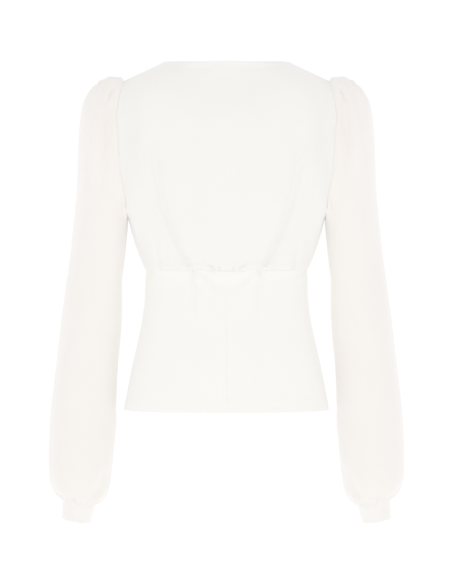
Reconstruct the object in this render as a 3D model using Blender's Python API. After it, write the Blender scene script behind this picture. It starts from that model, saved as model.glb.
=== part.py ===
"""Wrap top with a fitted basque and bishop sleeves, filled out as if it were worn.

Metres, +Z up. The back of the top faces -Y and the wearer's right side is +X. The origin is
midway between the shoulder points, where the wearer carries the top. Every sewn piece is one
closed wall of cloth, worked out from a grid of points on its outer face. Tables are in
millimetres, a row for each section, station or fold, and MM turns them into metres.
"""
import math
from typing import NamedTuple

import bpy
import numpy as np

MM = 0.001

# Cloth and seams
WALL = 1.6 * MM
SEAM_GAP = 0.3 * MM
HALF_GAP = SEAM_GAP / 2
LAP = WALL + 1.2 * MM            # the under front lies this far inside the over front

# Heights of the body, and half widths where a line starts or ends
NECK_HEIGHT = 15.0 * MM
NECK_HALF = 97.2 * MM
NECK_DIP = 6.0 * MM              # the back neck edge is lower at the centre
NECK_DEPTH = 64.0 * MM           # and stands this far behind the shoulder seam
NECK_ROLL = 120.0 * MM           # height over which the back turns to the neck edge
CHEST_DEPTH = 40.0 * MM          # the front surface at neck height, between the fronts
SHOULDER_HEIGHT = -15.0 * MM
SHOULDER_HALF = 162.0 * MM
SHOULDER_ROLL = 55.0 * MM        # height over which back and front turn to the shoulder seam
UNDERARM_HEIGHT = -218.0 * MM
WAIST_HEIGHT = -313.6 * MM
HEM_HEIGHT = -533.0 * MM

# Armhole: a loop cut in the side of the body, seen from the side an ellipse
ARMHOLE_DEPTH = 48.0 * MM        # behind and in front of the side seam
ARMHOLE_CENTRE = (SHOULDER_HEIGHT + UNDERARM_HEIGHT) / 2
ARMHOLE_RISE = (SHOULDER_HEIGHT - UNDERARM_HEIGHT) / 2
LEAST_ANGLE = 1e-3               # stands for the shoulder point itself, where depths vanish

# Fronts: the wrap edge runs from the neck point of its own side to past the other side's middle
WRAP_END = -88.0 * MM
WRAP_HOLLOW = 9.0 * MM           # how far the edge curves in from a straight line
FRONT_GATHER = 2.6 * MM          # depth of the gathers along the front waist
FRONT_GATHER_REACH = 95.0 * MM   # and how far up they run

# Grid of the pieces
FINE_STEPS = 8                   # armhole points from the shoulder point to FINE_REACH
FINE_REACH = math.radians(60)
COARSE_STEPS = 8                 # and from there to the underarm
SIDE_SEAM_STEPS = 6
BACK_INNER_COLUMNS = 12          # from the centre back to the long fold
BACK_OUTER_COLUMNS = 9           # from there to the side
BACK_CROWDING = 1.35             # how much closer the columns are beside the fold
LAPPED_COLUMNS = 16              # of a front, where the two fronts lie on each other
SINGLE_COLUMNS = 7
BASQUE_ROWS = 8
CUFF_ROWS = 1
SLEEVE_HEAD_RINGS = 9            # to station 4, then to stations 8, 15 and 18
SLEEVE_ARM_RINGS = 4
SLEEVE_FALL_RINGS = 6
SLEEVE_FOOT_RINGS = 5

# Back basque: x of the seam between the centre and side panels
PRINCESS_AT_WAIST = 53.5 * MM
PRINCESS_AT_HEM = 41.0 * MM
BASQUE_CENTRE_COLUMNS = 6
BASQUE_SIDE_COLUMNS = 8
BASQUE_FRONT_COLUMNS = 18

CUFF_WAVES = 8                   # gathers round the foot of a sleeve
CUFF_GATHER = 2.6 * MM           # their height where the sleeve is full


class BodiceLevel(NamedTuple):
    """Half widths and depths of the back's and the fronts' ellipses at a height."""

    height: float
    back_half: float
    front_half: float
    back: float
    front: float


class BasqueLevel(NamedTuple):
    """Half width and depths of the basque at a height."""

    height: float
    half_width: float
    back: float
    front: float


class Station(NamedTuple):
    """One ring of the sleeve: its outer, inner, rear and front points, and its half depth."""

    outer_x: float
    outer_z: float
    inner_x: float
    inner_z: float
    rear_x: float
    front_x: float
    middle_z: float
    half_depth: float


class Fold(NamedTuple):
    """A soft trough (negative depth) or ridge along a curve from start past bend to end."""

    start_x: float
    start_z: float
    bend_x: float
    bend_z: float
    end_x: float
    end_z: float
    start_width: float
    end_width: float
    start_depth: float
    end_depth: float


BODICE = (
    BodiceLevel(-313.6, 127.6, 127.6, 82.0, 92.0),
    BodiceLevel(-306.0, 131.2, 131.2, 90.0, 99.0),
    BodiceLevel(-290.0, 137.8, 137.8, 95.0, 107.0),
    BodiceLevel(-272.0, 144.6, 144.6, 98.0, 114.0),
    BodiceLevel(-255.0, 150.0, 150.0, 100.0, 119.0),
    BodiceLevel(-238.0, 154.4, 154.0, 101.5, 122.5),
    BodiceLevel(-218.0, 156.5, 156.5, 103.0, 124.5),
    BodiceLevel(-205.0, 161.5, 158.4, 103.6, 124.5),
    BodiceLevel(-190.0, 169.0, 161.0, 104.0, 123.5),
    BodiceLevel(-160.0, 183.5, 168.3, 104.0, 118.0),
    BodiceLevel(-116.0, 192.0, 178.0, 101.5, 104.0),
    BodiceLevel(-60.0, 188.3, 184.0, 92.0, 82.0),
    BodiceLevel(-15.0, 180.6, 192.0, 80.0, 66.0),
    BodiceLevel(15.0, 176.0, 194.0, 72.0, 56.0),
)

BASQUE = (
    BasqueLevel(-313.6, 127.4, 82.0, 92.0),
    BasqueLevel(-336.0, 128.2, 88.0, 94.0),
    BasqueLevel(-361.0, 129.2, 93.5, 96.5),
    BasqueLevel(-388.0, 132.4, 98.5, 99.0),
    BasqueLevel(-415.0, 137.2, 104.0, 102.0),
    BasqueLevel(-445.0, 144.0, 109.5, 105.5),
    BasqueLevel(-475.0, 150.6, 114.0, 109.5),
    BasqueLevel(-505.0, 156.2, 117.5, 113.5),
    BasqueLevel(-533.0, 161.0, 120.5, 117.0),
)

SLEEVE = (
    Station(162.0, -15.0, 156.0, -218.0, 169.0, 156.0, -116.5, 55.0),
    Station(176.0, -9.0, 156.8, -222.0, 175.0, 166.0, -119.0, 58.0),
    Station(192.0, -9.8, 157.0, -228.0, 181.0, 175.0, -125.0, 60.5),
    Station(206.5, -17.5, 157.2, -236.0, 186.0, 182.0, -134.0, 62.0),
    Station(219.0, -33.0, 157.8, -248.0, 190.0, 188.0, -149.0, 62.5),
    Station(227.5, -54.0, 158.5, -263.0, 192.5, 192.0, -168.0, 62.0),
    Station(232.0, -87.0, 159.3, -283.0, 194.5, 194.5, -192.0, 60.5),
    Station(235.0, -130.0, 160.5, -308.0, 197.0, 197.0, -224.0, 58.5),
    Station(237.0, -185.0, 162.0, -338.0, 200.0, 200.0, -265.0, 56.5),
    Station(243.0, -255.0, 163.8, -372.0, 204.0, 204.0, -315.0, 54.5),
    Station(252.0, -330.0, 167.0, -415.0, 210.0, 210.0, -373.0, 53.0),
    Station(263.0, -410.0, 171.0, -465.0, 217.0, 217.0, -438.0, 53.0),
    Station(272.0, -485.0, 174.0, -520.0, 223.0, 223.0, -503.0, 54.0),
    Station(278.5, -550.0, 177.0, -575.0, 227.5, 227.5, -563.0, 55.5),
    Station(281.0, -602.0, 179.5, -612.0, 230.0, 230.0, -608.0, 56.0),
    Station(279.5, -636.0, 183.0, -645.0, 231.5, 231.5, -641.0, 54.0),
    Station(274.5, -657.0, 187.5, -664.0, 232.0, 232.0, -661.0, 50.0),
    Station(266.5, -670.0, 195.0, -677.0, 232.5, 232.5, -674.0, 43.0),
    Station(258.5, -677.0, 207.0, -686.0, 232.8, 232.8, -681.5, 33.0),
)

# Cuff: the band below the sleeve, tapered and leaning out with the forearm
CUFF_HEIGHT = 28.0 * MM
CUFF_TOP_HALF = (26.0 * MM, 31.0 * MM)     # across and front to back
CUFF_FOOT_HALF = (22.3 * MM, 29.0 * MM)
CUFF_LEAN = math.radians(9.9)

# Folds of the right half of the back, mirrored to the left; columns follow the first
BACK_FOLDS = (
    Fold(112.0, -120.0, 112.0, -228.0, 53.5, -313.0, 11.0, 7.0, -1.5, -8.0),
    Fold(127.0, -140.0, 124.0, -232.0, 68.0, -309.0, 10.0, 8.0, 1.0, 3.0),
    Fold(141.0, -160.0, 137.0, -215.0, 118.0, -262.0, 9.0, 9.0, -1.2, -2.0),
    Fold(110.0, -268.0, 106.0, -292.0, 105.0, -314.0, 7.0, 7.0, -1.0, -4.0),
    Fold(31.0, -292.0, 26.0, -303.0, 22.0, -314.0, 4.5, 4.0, 0.0, -3.2),
    Fold(14.0, -296.0, 12.5, -305.0, 11.0, -314.0, 4.0, 4.0, 0.0, -2.8),
    Fold(43.0, -292.0, 38.0, -303.0, 35.0, -314.0, 4.5, 4.0, 0.0, -2.4),
    Fold(0.0, -300.0, 0.0, -307.0, 0.0, -314.0, 3.5, 3.5, 0.0, -1.6),
)

# Gathers of a front below its shoulder seam, on the front's own side
FRONT_FOLDS = (
    Fold(110.0, 4.0, 104.0, -70.0, 76.0, -150.0, 5.5, 13.0, -3.0, 0.0),
    Fold(124.0, -2.0, 122.0, -80.0, 104.0, -175.0, 5.5, 14.0, -3.2, 0.0),
    Fold(139.0, -8.0, 139.0, -80.0, 128.0, -165.0, 5.5, 12.0, -2.8, 0.0),
)

# Folds of the right half of the back basque, mirrored to the left
BASQUE_FOLDS = (
    Fold(53.5, -314.0, 52.0, -340.0, 49.5, -372.0, 5.0, 9.0, -2.6, 0.0),
    Fold(46.0, -318.0, 34.0, -332.0, 14.0, -350.0, 6.0, 9.0, 1.6, 0.3),
    Fold(118.0, -318.0, 104.0, -328.0, 92.0, -346.0, 8.0, 10.0, -1.6, 0.0),
)

# Folds of the rear of the right sleeve, and of its front
SLEEVE_REAR_FOLDS = (
    Fold(170.0, -16.0, 192.0, -44.0, 193.0, -170.0, 7.0, 13.0, -8.5, -1.2),
    Fold(182.0, -6.0, 208.0, -40.0, 212.0, -150.0, 7.0, 12.0, 3.0, 1.5),
    Fold(192.0, -6.0, 220.0, -34.0, 225.0, -125.0, 6.0, 9.0, -3.5, -0.8),
    Fold(169.0, -26.0, 177.0, -60.0, 175.0, -130.0, 6.0, 8.0, 2.2, 0.8),
    Fold(168.0, -330.0, 196.0, -420.0, 236.0, -480.0, 13.0, 18.0, -3.0, 0.0),
    Fold(178.0, -545.0, 206.0, -590.0, 226.0, -640.0, 11.0, 15.0, 2.6, 1.4),
)
SLEEVE_FRONT_FOLDS = (
    Fold(168.0, -16.0, 188.0, -50.0, 190.0, -165.0, 7.0, 13.0, -7.0, -1.0),
    Fold(182.0, -6.0, 206.0, -42.0, 208.0, -150.0, 7.0, 12.0, 2.6, 1.2),
    Fold(192.0, -6.0, 220.0, -38.0, 225.0, -120.0, 6.0, 9.0, -3.0, -0.8),
    Fold(168.0, -315.0, 192.0, -400.0, 228.0, -462.0, 13.0, 17.0, -2.6, 0.0),
    Fold(180.0, -560.0, 208.0, -600.0, 230.0, -642.0, 11.0, 15.0, 2.4, 1.2),
)


def smooth_step(value):
    """Ease from 0 to 1, flat at both ends."""
    value = np.clip(value, 0.0, 1.0)
    return value * value * (3.0 - 2.0 * value)


def column(table, name):
    """One named column of a table, in metres."""
    return np.array([getattr(row, name) for row in table]) * MM


def curve(knots, values, at):
    """Smooth curve through the values, a cubic on each stretch with no overshoot."""
    order = np.argsort(knots)
    knots, values = np.asarray(knots)[order], np.asarray(values)[order]
    slope = np.diff(values) / np.diff(knots)
    tangent = np.zeros(len(values))
    tangent[0], tangent[-1] = slope[0], slope[-1]
    same = slope[:-1] * slope[1:] > 0
    tangent[1:-1][same] = 2 * slope[:-1][same] * slope[1:][same] / (slope[:-1] + slope[1:])[same]
    at = np.clip(at, knots[0], knots[-1])
    i = np.clip(np.searchsorted(knots, at) - 1, 0, len(slope) - 1)
    span = knots[i + 1] - knots[i]
    t = (at - knots[i]) / span
    return (
        (2 * t**3 - 3 * t**2 + 1) * values[i]
        + (t**3 - 2 * t**2 + t) * span * tangent[i]
        + (3 * t**2 - 2 * t**3) * values[i + 1]
        + (t**3 - t**2) * span * tangent[i + 1]
    )


def fold_height(folds, x, z, steps=24):
    """Height of all the folds at the points (x, z), positive outwards."""
    total = np.zeros(np.shape(x))
    for fold in folds:
        best = np.full(np.shape(x), np.inf)
        along = np.zeros(np.shape(x))
        for t in np.linspace(0.0, 1.0, steps):
            a, b, c = (1 - t) ** 2, 2 * t * (1 - t), t * t
            path_x = (a * fold.start_x + b * fold.bend_x + c * fold.end_x) * MM
            path_z = (a * fold.start_z + b * fold.bend_z + c * fold.end_z) * MM
            distance = (x - path_x) ** 2 + (z - path_z) ** 2
            nearer = distance < best
            best = np.where(nearer, distance, best)
            along = np.where(nearer, t, along)
        width = (fold.start_width + (fold.end_width - fold.start_width) * along) * MM
        depth = (fold.start_depth + (fold.end_depth - fold.start_depth) * along) * MM
        total += depth * np.exp(-best / width**2)
    return total


def normals(points, ring=False):
    """Unit normals of a grid of points, rows first; a ring's columns close on themselves."""
    down = np.gradient(points, axis=0)
    if ring:
        across = (np.roll(points, -1, axis=1) - np.roll(points, 1, axis=1)) / 2
    else:
        across = np.gradient(points, axis=1)
    normal = np.cross(across, down)
    return normal / np.linalg.norm(normal, axis=2, keepdims=True)


def outward(points, ring=False):
    """Normals that point away from the inside of the garment at the grid's centre line."""
    normal = normals(points, ring)
    middle = points.mean(axis=1, keepdims=True) if ring else np.array([[[0.0, 0.0, 0.0]]])
    away = (points - middle)
    if not ring:
        away = away.copy()
        away[..., 2] = 0.0
    return normal if (normal * away).sum() > 0 else -normal


def pull_back(points, edge, inner, gap=HALF_GAP):
    """Draw an edge of the grid towards its inner neighbours, which leaves room for a seam."""
    step = points[inner] - points[edge]
    points[edge] += step * (gap / np.linalg.norm(step, axis=-1, keepdims=True))


def build_wall(name, outer, seams=(), ring=False, thickness=WALL):
    """Make a closed wall of cloth inside a grid of outer points.

    Each seam is (edge, axis, value): it holds that edge of both faces on a plane.
    """
    inner = outer - outward(outer, ring) * thickness
    for edge, axis, value in seams:
        for face in (outer, inner):
            face[edge + (axis,)] = value
    rows, columns = outer.shape[:2]
    count = rows * columns
    last = columns if ring else columns - 1

    def at(row, col):
        return row * columns + col % columns

    faces = []
    for row in range(rows - 1):
        for col in range(last):
            quad = (at(row, col), at(row, col + 1), at(row + 1, col + 1), at(row + 1, col))
            faces.append(quad)
            faces.append(tuple(count + v for v in reversed(quad)))
    for row, turn in ((0, 1), (rows - 1, -1)):
        for col in range(last):
            a, b = at(row, col), at(row, col + 1)
            faces.append((a, a + count, b + count, b)[::turn])
    if not ring:
        for col, turn in ((0, -1), (columns - 1, 1)):
            for row in range(rows - 1):
                a, b = at(row, col), at(row + 1, col)
                faces.append((a, a + count, b + count, b)[::turn])
    points = np.concatenate((outer.reshape(-1, 3), inner.reshape(-1, 3)))
    return add_mesh(name, points, faces)


def add_mesh(name, points, faces):
    """Add a mesh object with its faces pointing out."""
    if signed_volume(points, faces) < 0:
        faces = [tuple(reversed(face)) for face in faces]
    mesh = bpy.data.meshes.new(name)
    mesh.from_pydata([tuple(map(float, point)) for point in points], [], faces)
    mesh.shade_smooth()
    mesh.set_sharp_from_angle(angle=math.radians(50))
    obj = bpy.data.objects.new(name, mesh)
    bpy.context.collection.objects.link(obj)
    return obj


def signed_volume(points, faces):
    """Volume inside the faces, negative where they point inwards."""
    volume = 0.0
    for face in faces:
        for i in range(1, len(face) - 1):
            a, b, c = points[face[0]], points[face[i]], points[face[i + 1]]
            volume += np.dot(a, np.cross(b, c))
    return volume / 6.0


def armhole_angles():
    """Angles down the armhole from the shoulder point, close together in the upper part."""
    fine = np.linspace(0.0, FINE_REACH, FINE_STEPS + 1)
    coarse = np.linspace(FINE_REACH, math.pi, COARSE_STEPS + 1)
    return np.concatenate((fine, coarse[1:]))


def level(name, z):
    """A column of the bodice's table at the heights z."""
    return curve(column(BODICE, "height"), column(BODICE, name), z)


def shoulder_turn(drop, height):
    """Quarter circle by which a surface falls away from the shoulder, 0 at the seam."""
    fall = np.clip(drop / height, 0.0, 1.0)
    return np.sqrt(1 - (1 - fall) ** 2)


def armhole(angle, side):
    """Edge of the right armhole: x, distance from the side seam, height, and its ellipse's sweep."""
    angle = np.maximum(angle, LEAST_ANGLE)
    z = ARMHOLE_CENTRE + ARMHOLE_RISE * np.cos(angle)
    depth = ARMHOLE_DEPTH * np.sin(angle)
    full = level(side, z) * shoulder_turn(SHOULDER_HEIGHT - z, SHOULDER_ROLL)
    sweep = np.arccos(depth / full)
    return level(f"{side}_half", z) * np.sin(sweep), depth, z, sweep


class Rows(NamedTuple):
    """Rows of the bodice from waist to shoulder: half width of the ellipse, height, sweep."""

    half: np.ndarray
    height: np.ndarray
    sweep: np.ndarray


def bodice_rows(side):
    """Rows up the side seam, then up the armhole."""
    low = np.linspace(WAIST_HEIGHT, UNDERARM_HEIGHT, SIDE_SEAM_STEPS + 1)[:-1]
    low[1] = WAIST_HEIGHT + 8 * MM
    _, _, high, turn = armhole(armhole_angles()[::-1], side)
    height = np.concatenate((low, high))
    sweep = np.concatenate((np.full(len(low), math.pi / 2), turn))
    return Rows(level(f"{side}_half", height), height, sweep)


def neck_place(rows):
    """Place of the neck point across the shoulder row."""
    return math.asin(NECK_HALF / rows.half[-1]) / rows.sweep[-1]


def torso(across, rows, side, rim_depth):
    """Points of the back or front surface; across runs from -1 to 1 in each row."""
    half, height, sweep = (value[:, None] for value in rows)
    reach = np.abs(across)
    x = half * np.sin(reach * sweep) * np.sign(across)
    inside = np.clip(reach / neck_place(rows), 0.0, 1.0)
    top_x = half[-1] * np.sin(reach * sweep[-1])
    slope = np.clip((SHOULDER_HALF - top_x) / (SHOULDER_HALF - NECK_HALF), 0.0, 1.0)
    dip = NECK_DIP * (1 - inside**2) if side == "back" else 0.0
    climb = (NECK_HEIGHT - SHOULDER_HEIGHT) * slope - dip
    rise = np.clip((height - UNDERARM_HEIGHT) / (SHOULDER_HEIGHT - UNDERARM_HEIGHT), 0.0, 1.0)
    z = height + climb * rise
    drop = SHOULDER_HEIGHT + climb - z
    full = level(side, z) * np.cos(reach * sweep)
    round_turn = shoulder_turn(drop, SHOULDER_ROLL)
    easy_turn = np.sin(np.clip(drop / NECK_ROLL, 0.0, 1.0) * math.pi / 2)
    turn = easy_turn + (round_turn - easy_turn) * smooth_step(inside)
    rim = rim_depth * (1 - inside**2) ** 0.75
    depth = rim + (full - rim) * turn
    return np.stack((x, -depth if side == "back" else depth, z), axis=2)


def raise_folds(points, height, ring=False):
    """Move the points of a grid out along their normals by the folds' height."""
    return points + outward(points, ring) * height[..., None]


def back_places(rows):
    """Places across the back, a row for each level; one column follows the long fold."""
    fold = BACK_FOLDS[0]
    t = np.linspace(1.0, 0.0, 12)
    line_x = ((1 - t) ** 2 * fold.start_x + 2 * t * (1 - t) * fold.bend_x + t * t * fold.end_x) * MM
    line_z = ((1 - t) ** 2 * fold.start_z + 2 * t * (1 - t) * fold.bend_z + t * t * fold.end_z) * MM
    rise = np.clip((rows.height - UNDERARM_HEIGHT) / (SHOULDER_HEIGHT - UNDERARM_HEIGHT), 0.0, 1.0)
    z = rows.height + (NECK_HEIGHT - SHOULDER_HEIGHT) * rise
    x = np.interp(z, np.append(line_z, NECK_HEIGHT), np.append(line_x, NECK_HALF))
    guide = (np.arcsin(x / rows.half) / rows.sweep)[:, None]
    inner = 1 - (1 - np.linspace(0.0, 1.0, BACK_INNER_COLUMNS + 1)) ** BACK_CROWDING
    outer = np.linspace(0.0, 1.0, BACK_OUTER_COLUMNS + 1)[1:] ** BACK_CROWDING
    right = np.concatenate((guide * inner, guide + (1 - guide) * outer), axis=1)
    return np.concatenate((-right[:, :0:-1], right), axis=1)


def bodice_back():
    """The back, one piece, gathered at the centre of the waist with a long fold on each side."""
    rows = bodice_rows("back")
    across = back_places(rows)
    points = torso(across, rows, "back", NECK_DEPTH)
    fold = fold_height(BACK_FOLDS, np.abs(points[..., 0]), points[..., 2])
    points = raise_folds(points, fold * edge_fade(rows, across))
    seat_armhole(points, (0, 1), (-1, -2))
    shoulder = np.flatnonzero(np.abs(across[-1]) >= neck_place(rows) - 1e-6)
    low = slice(0, SIDE_SEAM_STEPS + 1)
    seams = [
        ((0, slice(None)), 2, WAIST_HEIGHT + HALF_GAP),
        ((low, 0), 1, -HALF_GAP),
        ((low, -1), 1, -HALF_GAP),
        ((-1, shoulder), 1, -HALF_GAP),
    ]
    return build_wall("bodice_back", points, seams)


def edge_fade(rows, across):
    """Folds die away at the armholes, side seams and shoulders but run into the waist."""
    side = smooth_step((1 - np.abs(across)) / 0.08)
    top = smooth_step((SHOULDER_HEIGHT - rows.height) / (4 * MM))[:, None]
    return side * top


def seat_armhole(points, *edges):
    """Leave half the seam's gap along the given side edges, above the underarm."""
    high = slice(SIDE_SEAM_STEPS + 1, None)
    for edge, inner in edges:
        pull_back(points, (high, edge), (high, inner))


def wrap_edge(rows):
    """Where the wrap edge of the right front crosses each row, as a place across."""
    rise = np.clip((rows.height - UNDERARM_HEIGHT) / (SHOULDER_HEIGHT - UNDERARM_HEIGHT), 0.0, 1.0)
    z = rows.height + (NECK_HEIGHT - SHOULDER_HEIGHT) * rise
    share = (z - WAIST_HEIGHT) / (NECK_HEIGHT - WAIST_HEIGHT)
    x = WRAP_END + (NECK_HALF - WRAP_END) * share + WRAP_HOLLOW * np.sin(math.pi * share)
    return np.arcsin(x / rows.half) / rows.sweep


def front_places(edge):
    """Places across a front from its wrap edge to its side, a row for each level.

    Where the fronts lap, their columns share their places, so that one lies evenly on the other.
    """
    lapped_end = np.maximum(-edge, edge + 0.25 * (1 - edge))
    share = np.linspace(0.0, 1.0, LAPPED_COLUMNS + 1)[None, :]
    lapped = edge + (lapped_end - edge) * share
    share = np.linspace(0.0, 1.0, SINGLE_COLUMNS + 1)[None, 1:]
    single = lapped_end + (1 - lapped_end) * share
    return np.concatenate((lapped, single), axis=1)


def front_gathers(across, z):
    """Gathers along the front waist: every other column is drawn in."""
    hollow = np.arange(across.shape[1]) % 2
    fade = smooth_step(1 - (z - WAIST_HEIGHT) / FRONT_GATHER_REACH)
    return -FRONT_GATHER * hollow * fade * (1 + 0.35 * np.cos(9 * across))


def bodice_front(name, over):
    """A front, gathered at shoulder and waist; the left one lies under the right one."""
    rows = bodice_rows("front")
    edge = wrap_edge(rows)[:, None]
    across = front_places(edge)
    points = torso(across, rows, "front", CHEST_DEPTH)
    x, z = points[..., 0], points[..., 2]
    fold = fold_height(FRONT_FOLDS, x, z) + front_gathers(across, z)
    if not over:
        fold -= LAP * smooth_step((0.16 - edge - across) / 0.12)
    points = raise_folds(points, fold * edge_fade(rows, across))
    if not over:
        points[..., 0] *= -1.0
    seat_armhole(points, (-1, -2))
    low = slice(0, SIDE_SEAM_STEPS + 1)
    seams = [
        ((0, slice(None)), 2, WAIST_HEIGHT + HALF_GAP),
        ((low, -1), 1, HALF_GAP),
        ((-1, slice(None)), 1, HALF_GAP),
    ]
    return build_wall(name, points, seams)


def basque_points(angles):
    """Points of the basque at the angles from centre back, a row for each level."""
    z = np.linspace(WAIST_HEIGHT, HEM_HEIGHT, BASQUE_ROWS + 1)
    heights = column(BASQUE, "height")
    half = curve(heights, column(BASQUE, "half_width"), z)[:, None]
    back = curve(heights, column(BASQUE, "back"), z)[:, None]
    front = curve(heights, column(BASQUE, "front"), z)[:, None]
    x = half * np.sin(angles)
    y = -np.where(np.cos(angles) > 0, back, front) * np.cos(angles)
    return np.stack((x, y, np.broadcast_to(z[:, None], x.shape)), axis=2)


def princess_angles():
    """Angle of the seam between centre and side panels, a row for each level."""
    share = np.linspace(0.0, 1.0, BASQUE_ROWS + 1)
    x = PRINCESS_AT_WAIST + (PRINCESS_AT_HEM - PRINCESS_AT_WAIST) * share
    z = WAIST_HEIGHT + (HEM_HEIGHT - WAIST_HEIGHT) * share
    half = curve(column(BASQUE, "height"), column(BASQUE, "half_width"), z)
    return np.arcsin(x / half)[:, None]


def basque_panel(name, first, last, columns, seams, mirror=False, loose=()):
    """A panel of the basque between two angles, on one side or mirrored to the other."""
    place = np.linspace(0.0, 1.0, columns + 1)[None, :]
    points = basque_points(first + (last - first) * place)
    rear = smooth_step(-points[..., 1] / (20 * MM))
    fold = fold_height(BASQUE_FOLDS, np.abs(points[..., 0]), points[..., 2]) * rear
    points = raise_folds(points, fold)
    if mirror:
        points[..., 0] *= -1.0
        seams = [(edge, axis, -value if axis == 0 else value) for edge, axis, value in seams]
    for edge, inner in loose:
        pull_back(points, (slice(None), edge), (slice(None), inner))
    waist = ((0, slice(None)), 2, WAIST_HEIGHT - HALF_GAP)
    return build_wall(name, points, [waist, *seams])


def basque():
    """Centre and side panels behind, and one panel in front."""
    princess = princess_angles()
    zero, quarter = np.zeros_like(princess), np.full_like(princess, math.pi / 2)
    centre_seam = [((slice(None), 0), 0, HALF_GAP)]
    side_seam = [((slice(None), -1), 1, -HALF_GAP)]
    pieces = []
    for side, mirror in (("right", False), ("left", True)):
        pieces.append(basque_panel(
            f"basque_back_centre_{side}", zero, princess, BASQUE_CENTRE_COLUMNS,
            centre_seam, mirror, loose=[(-1, -2)],
        ))
        pieces.append(basque_panel(
            f"basque_back_side_{side}", princess, quarter, BASQUE_SIDE_COLUMNS,
            side_seam, mirror, loose=[(0, 1)],
        ))
    front_seams = [((slice(None), 0), 1, HALF_GAP), ((slice(None), -1), 1, HALF_GAP)]
    pieces.append(basque_panel(
        "basque_front", quarter, 3 * quarter, BASQUE_FRONT_COLUMNS, front_seams,
    ))
    return pieces


def sleeve_angles(share):
    """Angles round a ring: the armhole's own at the head, even ones further down."""
    head = armhole_angles()
    ring = np.concatenate((head, 2 * math.pi - head[-2:0:-1]))
    even = np.linspace(0.0, 2 * math.pi, len(ring), endpoint=False)
    return ring + (even - ring) * smooth_step(share * 2)


def sleeve_stations():
    """Stations of the rings: close together at the head and the foot."""
    spans = (
        (0, 4, SLEEVE_HEAD_RINGS),
        (4, 8, SLEEVE_ARM_RINGS + 1),
        (8, 15, SLEEVE_FALL_RINGS + 1),
        (15, len(SLEEVE) - 1, SLEEVE_FOOT_RINGS + 1),
    )
    return np.unique(np.concatenate([np.linspace(*span) for span in spans]))


def sleeve_ring(station):
    """Outer points of the right sleeve at a station; the first ring is the armhole."""
    knots = np.arange(len(SLEEVE))
    at = Station(*(curve(knots, column(SLEEVE, field), station) for field in Station._fields))
    angle = sleeve_angles(station / knots[-1])
    rear = np.sin(angle) > 0
    if station == 0:
        from_top = np.minimum(angle, 2 * math.pi - angle)
        behind, ahead = armhole(from_top, "back"), armhole(from_top, "front")
        x = np.where(rear, behind[0], ahead[0]) + SEAM_GAP
        return np.stack((x, -ARMHOLE_DEPTH * np.sin(angle), behind[2]), axis=1)
    turn, turn_2 = np.cos(angle), np.cos(angle) ** 2
    centre_x, centre_z = (at.outer_x + at.inner_x) / 2, (at.outer_z + at.inner_z) / 2
    side_x = np.where(rear, at.rear_x, at.front_x)
    x = side_x + (at.outer_x - centre_x) * turn + (centre_x - side_x) * turn_2
    z = at.middle_z + (at.outer_z - centre_z) * turn + (centre_z - at.middle_z) * turn_2
    return np.stack((x, -at.half_depth * np.sin(angle), z), axis=1)


def sleeve(name, mirror):
    """A bishop sleeve: pleated full head, long tube, gathers at the foot."""
    stations = sleeve_stations()
    points = np.array([sleeve_ring(station) for station in stations])
    x, y, z = (points[..., axis] for axis in range(3))
    rear = smooth_step(0.5 - y / (20 * MM))
    fold = fold_height(SLEEVE_REAR_FOLDS, x, z) * rear
    fold += fold_height(SLEEVE_FRONT_FOLDS, x, z) * (1 - rear)
    fold *= (smooth_step(stations) * (1 - smooth_step(stations - 16)))[:, None]
    angle = np.array([sleeve_angles(station / (len(SLEEVE) - 1)) for station in stations])
    full = (smooth_step((stations - 13.5) / 3) * (1 - 0.6 * smooth_step(stations - 17)))[:, None]
    points = raise_folds(points, fold + CUFF_GATHER * full * np.cos(CUFF_WAVES * angle), ring=True)
    points[0] = sleeve_ring(0)
    _, along = cuff_frame()
    past = (points[-1] - cuff_top()) @ along + HALF_GAP
    points[-1] -= np.outer(past, along)
    if mirror:
        points[..., 0] *= -1.0
    return build_wall(name, points, ring=True)


def cuff_frame():
    """Unit vectors of the right cuff: across it, outwards, and down along it."""
    along = np.array([math.sin(CUFF_LEAN), 0.0, -math.cos(CUFF_LEAN)])
    across = np.array([math.cos(CUFF_LEAN), 0.0, math.sin(CUFF_LEAN)])
    return across, along


def cuff_top():
    """Centre of the right cuff's upper edge."""
    foot = SLEEVE[-1]
    return np.array([(foot.outer_x + foot.inner_x) / 2, 0.0, (foot.outer_z + foot.inner_z) / 2]) * MM


def cuff(name, mirror):
    """A plain band, a little narrower at the wrist."""
    across, along = cuff_frame()
    angle = sleeve_angles(1.0)
    share = np.linspace(0.0, 1.0, CUFF_ROWS + 1)[:, None, None]
    wide = CUFF_TOP_HALF[0] + (CUFF_FOOT_HALF[0] - CUFF_TOP_HALF[0]) * share
    deep = CUFF_TOP_HALF[1] + (CUFF_FOOT_HALF[1] - CUFF_TOP_HALF[1]) * share
    points = (
        cuff_top()
        + along * (HALF_GAP + (CUFF_HEIGHT - HALF_GAP) * share)
        + wide * np.cos(angle)[None, :, None] * across
        - deep * np.sin(angle)[None, :, None] * np.array([0.0, 1.0, 0.0])
    )
    if mirror:
        points[..., 0] *= -1.0
    return build_wall(name, points, ring=True)


def cloth(name, colour, roughness):
    """A plain cloth material."""
    material = bpy.data.materials.new(name)
    material.use_nodes = True
    shader = material.node_tree.nodes["Principled BSDF"]
    shader.inputs["Base Color"].default_value = (*colour, 1.0)
    shader.inputs["Roughness"].default_value = roughness
    shader.inputs["Metallic"].default_value = 0.0
    return material


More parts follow.
